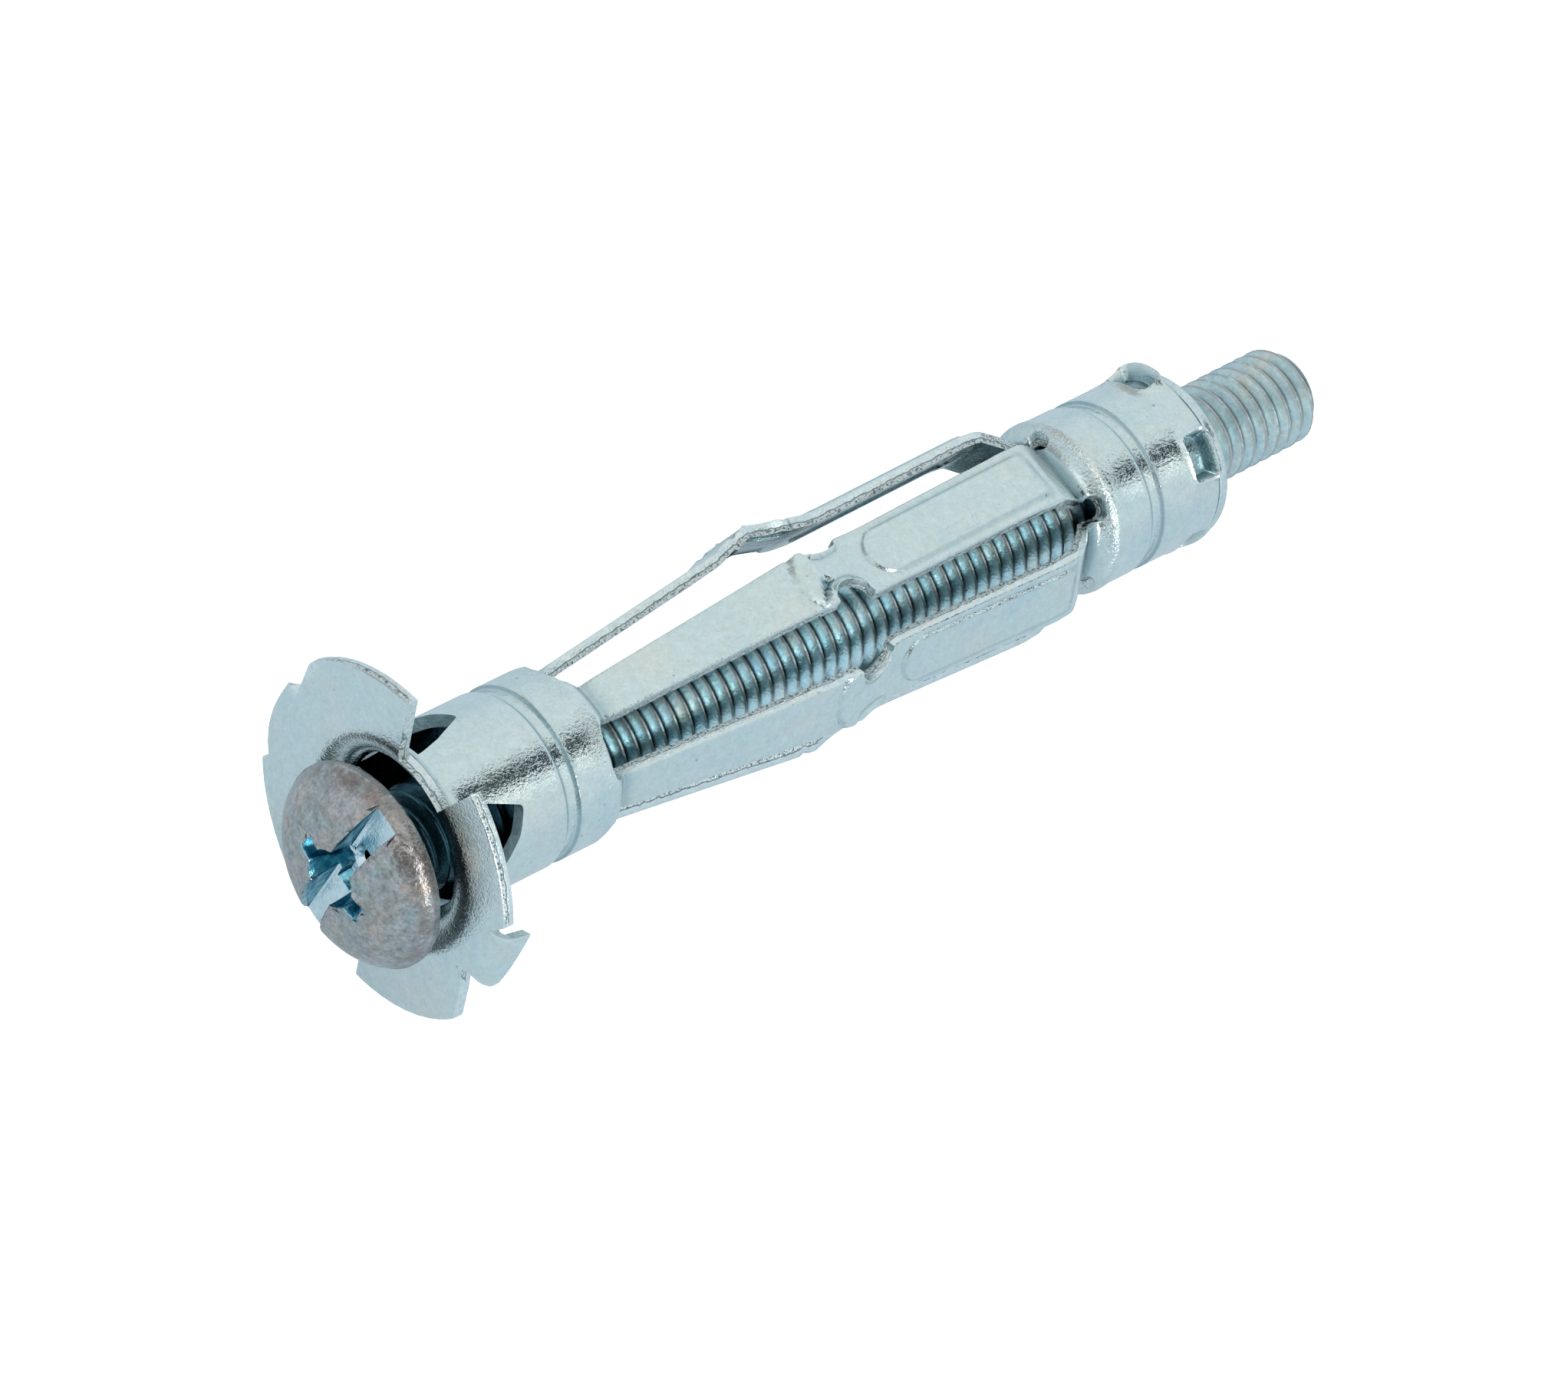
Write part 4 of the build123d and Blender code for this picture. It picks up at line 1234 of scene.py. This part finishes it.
# Painted shade in grooves, folds, pockets and at the rear seam.
color = mixed(t, stored(t, "fold_shade"), color, (0.10, 0.22, 0.27))
# Painted shade inside the tube.
color = mixed(t, stored(t, "painted_tube_shade"), color, (0.06, 0.15, 0.19))
coarse = calc(t, "MULTIPLY_ADD", stored(t, "drawn_ridge"), 2.4, 1.0)
grained_metal(t, color, 0.12, (0.14, coarse, 0.25, 0.2))

# %% [markdown]
# Sheared edges
# A punch first presses a smooth, shiny band into the sheet's edge and then tears the rest, which
# stays rough and dull. The stored depth through the sheet tells the two bands apart.

# %% Finish: sheared edges
t = start("sheared_edge")
depth = calc(t, "MULTIPLY_ADD", centred(t, noise(t, 0.5, 3.0)), 0.5, stored(t, "through_sheet"))
torn = between(t, depth, 0.52, 0.62)
crumbs = noise(t, 0.13, 3.0, 0.7)
pressed_band = plated(t, (0.70, 0.76, 0.76), (0.55, 0.66, 0.70), (0.72, 0.70, 0.66), 0.9, 0.6, 0.12, 0.1)
torn_band = mixed(t, between(t, crumbs, 0.36, 0.52), (0.10, 0.16, 0.18), (0.72, 0.76, 0.75))
lip_line = times(t, between(t, depth, 0.46, 0.52), between(t, depth, 0.60, 0.54))
banded = mixed(t, lip_line, mixed(t, torn, pressed_band, torn_band), (0.16, 0.24, 0.27))
skin = grained(t, 0.13, 1.0, 0.3, 0.0)
rough_height = calc(t, "MULTIPLY_ADD", times(t, crumbs, torn), 2.4, skin["Height"])
metal(t, banded, between(t, torn, 0.0, 1.0, 0.2, 0.42), rough_height, bump_mm=0.03)
print("sheared finish:", len(t.nodes), "nodes")

# %% Finish: walls of the punched windows
# The windows' walls are matte, and their light blue is brightened beyond the plating's, as painted
# light for the light they catch.
t = start("punched_wall")
tone = plated(t, (0.70, 0.88, 0.92), (0.48, 0.70, 0.77), (0.84, 0.90, 0.90), 0.7, 0.7, 0.12, 0.1)
grained_metal(t, tone, 0.5, (0.16, 1.0, 0.3, 0.0))

# %% [markdown]
# The screw
# The head was tumbled with thousands of others, so its dome is matte, mottled grey with a faint pink
# and gold film near the rim. The recess was out of reach and stayed glossy and blue, as did the
# thread, whose crests are rubbed. The recess's steep walls and hollows and the thread's roots are
# darkened as painted shade, the roots nearly black, and the edges on the head and in the recess are
# lightened partly as painted highlights.

# %% Finish: head
t = start("head_plate")
away = stored(t, "from_axis")
tone = plated(t, (0.40, 0.40, 0.40), (0.35, 0.41, 0.43), (0.47, 0.41, 0.385), 1.3, 1.0, 0.42, 0.35)
tinted = group(t, film, Color=tone, Film=0.9, Drift=between(t, away, 2.8, 4.8, 0.0, 0.22))["Color"]
rim = times(t, between(t, away, 4.15, 4.6), between(t, noise(t, 0.9, 3.0), 0.36, 0.62))
rimmed = mixed(t, times(t, rim, 0.55), tinted, (0.20, 0.17, 0.15))
# Edges lighten, partly as rubbed wear and partly as a painted highlight.
color = mixed(t, group(t, edges_and_hollows, Rub=0.5, Hollow=0.3)["Edge"], rimmed, (0.72, 0.72, 0.70))
grained_metal(t, color, between(t, away, 3.0, 4.4, 0.42, 0.30), (0.24, 1.0, 0.7, 0.25), bump_mm=0.04)

# %% Finish: recess
t = start("recess_plate")
tone = plated(t, (0.62, 0.74, 0.78), (0.44, 0.62, 0.68), (0.72, 0.76, 0.77), 0.8, 0.8, 0.14, 0.2)
rub_and_shade = group(t, edges_and_hollows, Rub=0.9, Hollow=0.9)
# Painted shade: the recess's steep walls are darker than its floor, by their slope against the screw's
# axis, and its hollows darker still; its edges get painted highlights.
against = node(t, "ShaderNodeVectorMath", operation="DOT_PRODUCT")
against.inputs[1].default_value = laid((0, 0, -1))
wire(t, against, node(t, "ShaderNodeNewGeometry").outputs["Normal"])
wall_shade = between(t, calc(t, "ABSOLUTE", against.outputs["Value"]), 0.9, 0.45)
shaded_wall_blues = mixed(t, between(t, noise(t, 0.45, 3.0), 0.35, 0.65), (0.05, 0.22, 0.30), (0.22, 0.50, 0.60))
color = mixed(t, rub_and_shade["Edge"], mixed(t, wall_shade, tone, shaded_wall_blues), (0.86, 0.88, 0.88))
color = mixed(t, rub_and_shade["Hollow"], color, (0.03, 0.10, 0.13))
grained_metal(t, color, 0.18, (0.14, 0.8, 0.3, 0.0), bump_mm=0.02)

# %% Finish: thread
# The free end is brighter and more matte than the thread between the legs. Inside the collars the
# thread lies in the dark, and that shade is painted into its colour. The roots get painted shade,
# nearly black, less dark at the free end.
t = start("thread_plate")
up, place = stored(t, "thread_height"), stored(t, "along_screw")
tone = plated(t, (0.42, 0.56, 0.63), (0.33, 0.50, 0.59), (0.52, 0.56, 0.57), 1.6, 0.8, 0.16, 0.3)
free = between(t, place, 47.5, 48.6)
open_air = mixed(t, free, mixed(t, 1.0, tone, (1.54, 1.54, 1.46), "MULTIPLY"),
                 mixed(t, 1.0, tone, (1.38, 1.26, 1.16), "MULTIPLY"))
in_rear = times(t, between(t, place, 39.8, 41.0), between(t, place, 48.4, 47.8))
# Painted shade where the collars cover the thread.
collar_shade = calc(t, "MAXIMUM", between(t, place, 10.6, 8.6), in_rear)
# Painted shade in the thread's roots.
root_shade = mixed(t, free, (0.02, 0.05, 0.07), (0.10, 0.15, 0.18))
color = mixed(t, between(t, up, 0.30, 0.02), open_air, root_shade)
rubbed = times(t, between(t, up, 0.86, 0.97), between(t, noise(t, 0.5, 3.0), 0.3, 0.5))
color = group(t, film, Color=mixed(t, rubbed, color, (0.46, 0.47, 0.46)), Film=0.5)["Color"]
color = mixed(t, collar_shade, color, (0.04, 0.10, 0.13))
grained_metal(t, color, calc(t, "MULTIPLY_ADD", free, 0.10, 0.32), (0.16, 1.0, 0.4, 0.0))

# %% [markdown]
# The nut
# The nut's rim got the same plating as the sleeve. Its turned face is a little darker. Its edge shines,
# partly where the sleeve was pressed over it and partly as a painted highlight, and its hollows get
# painted shade.

# %% Finish: nut
t = start("nut_plate")
tone = plated(t, (0.60, 0.69, 0.71), (0.50, 0.62, 0.67), (0.66, 0.66, 0.63), 1.4, 0.8, 0.14, 0.4)
rub_and_shade = group(t, edges_and_hollows, Rub=0.7, Hollow=0.8)
color = mixed(t, rub_and_shade["Edge"], group(t, film, Color=tone, Film=0.4)["Color"], (0.82, 0.84, 0.82))
color = mixed(t, rub_and_shade["Hollow"], color, (0.05, 0.10, 0.13))
grained_metal(t, color, 0.24, (0.16, 1.0, 0.5, 0.2))
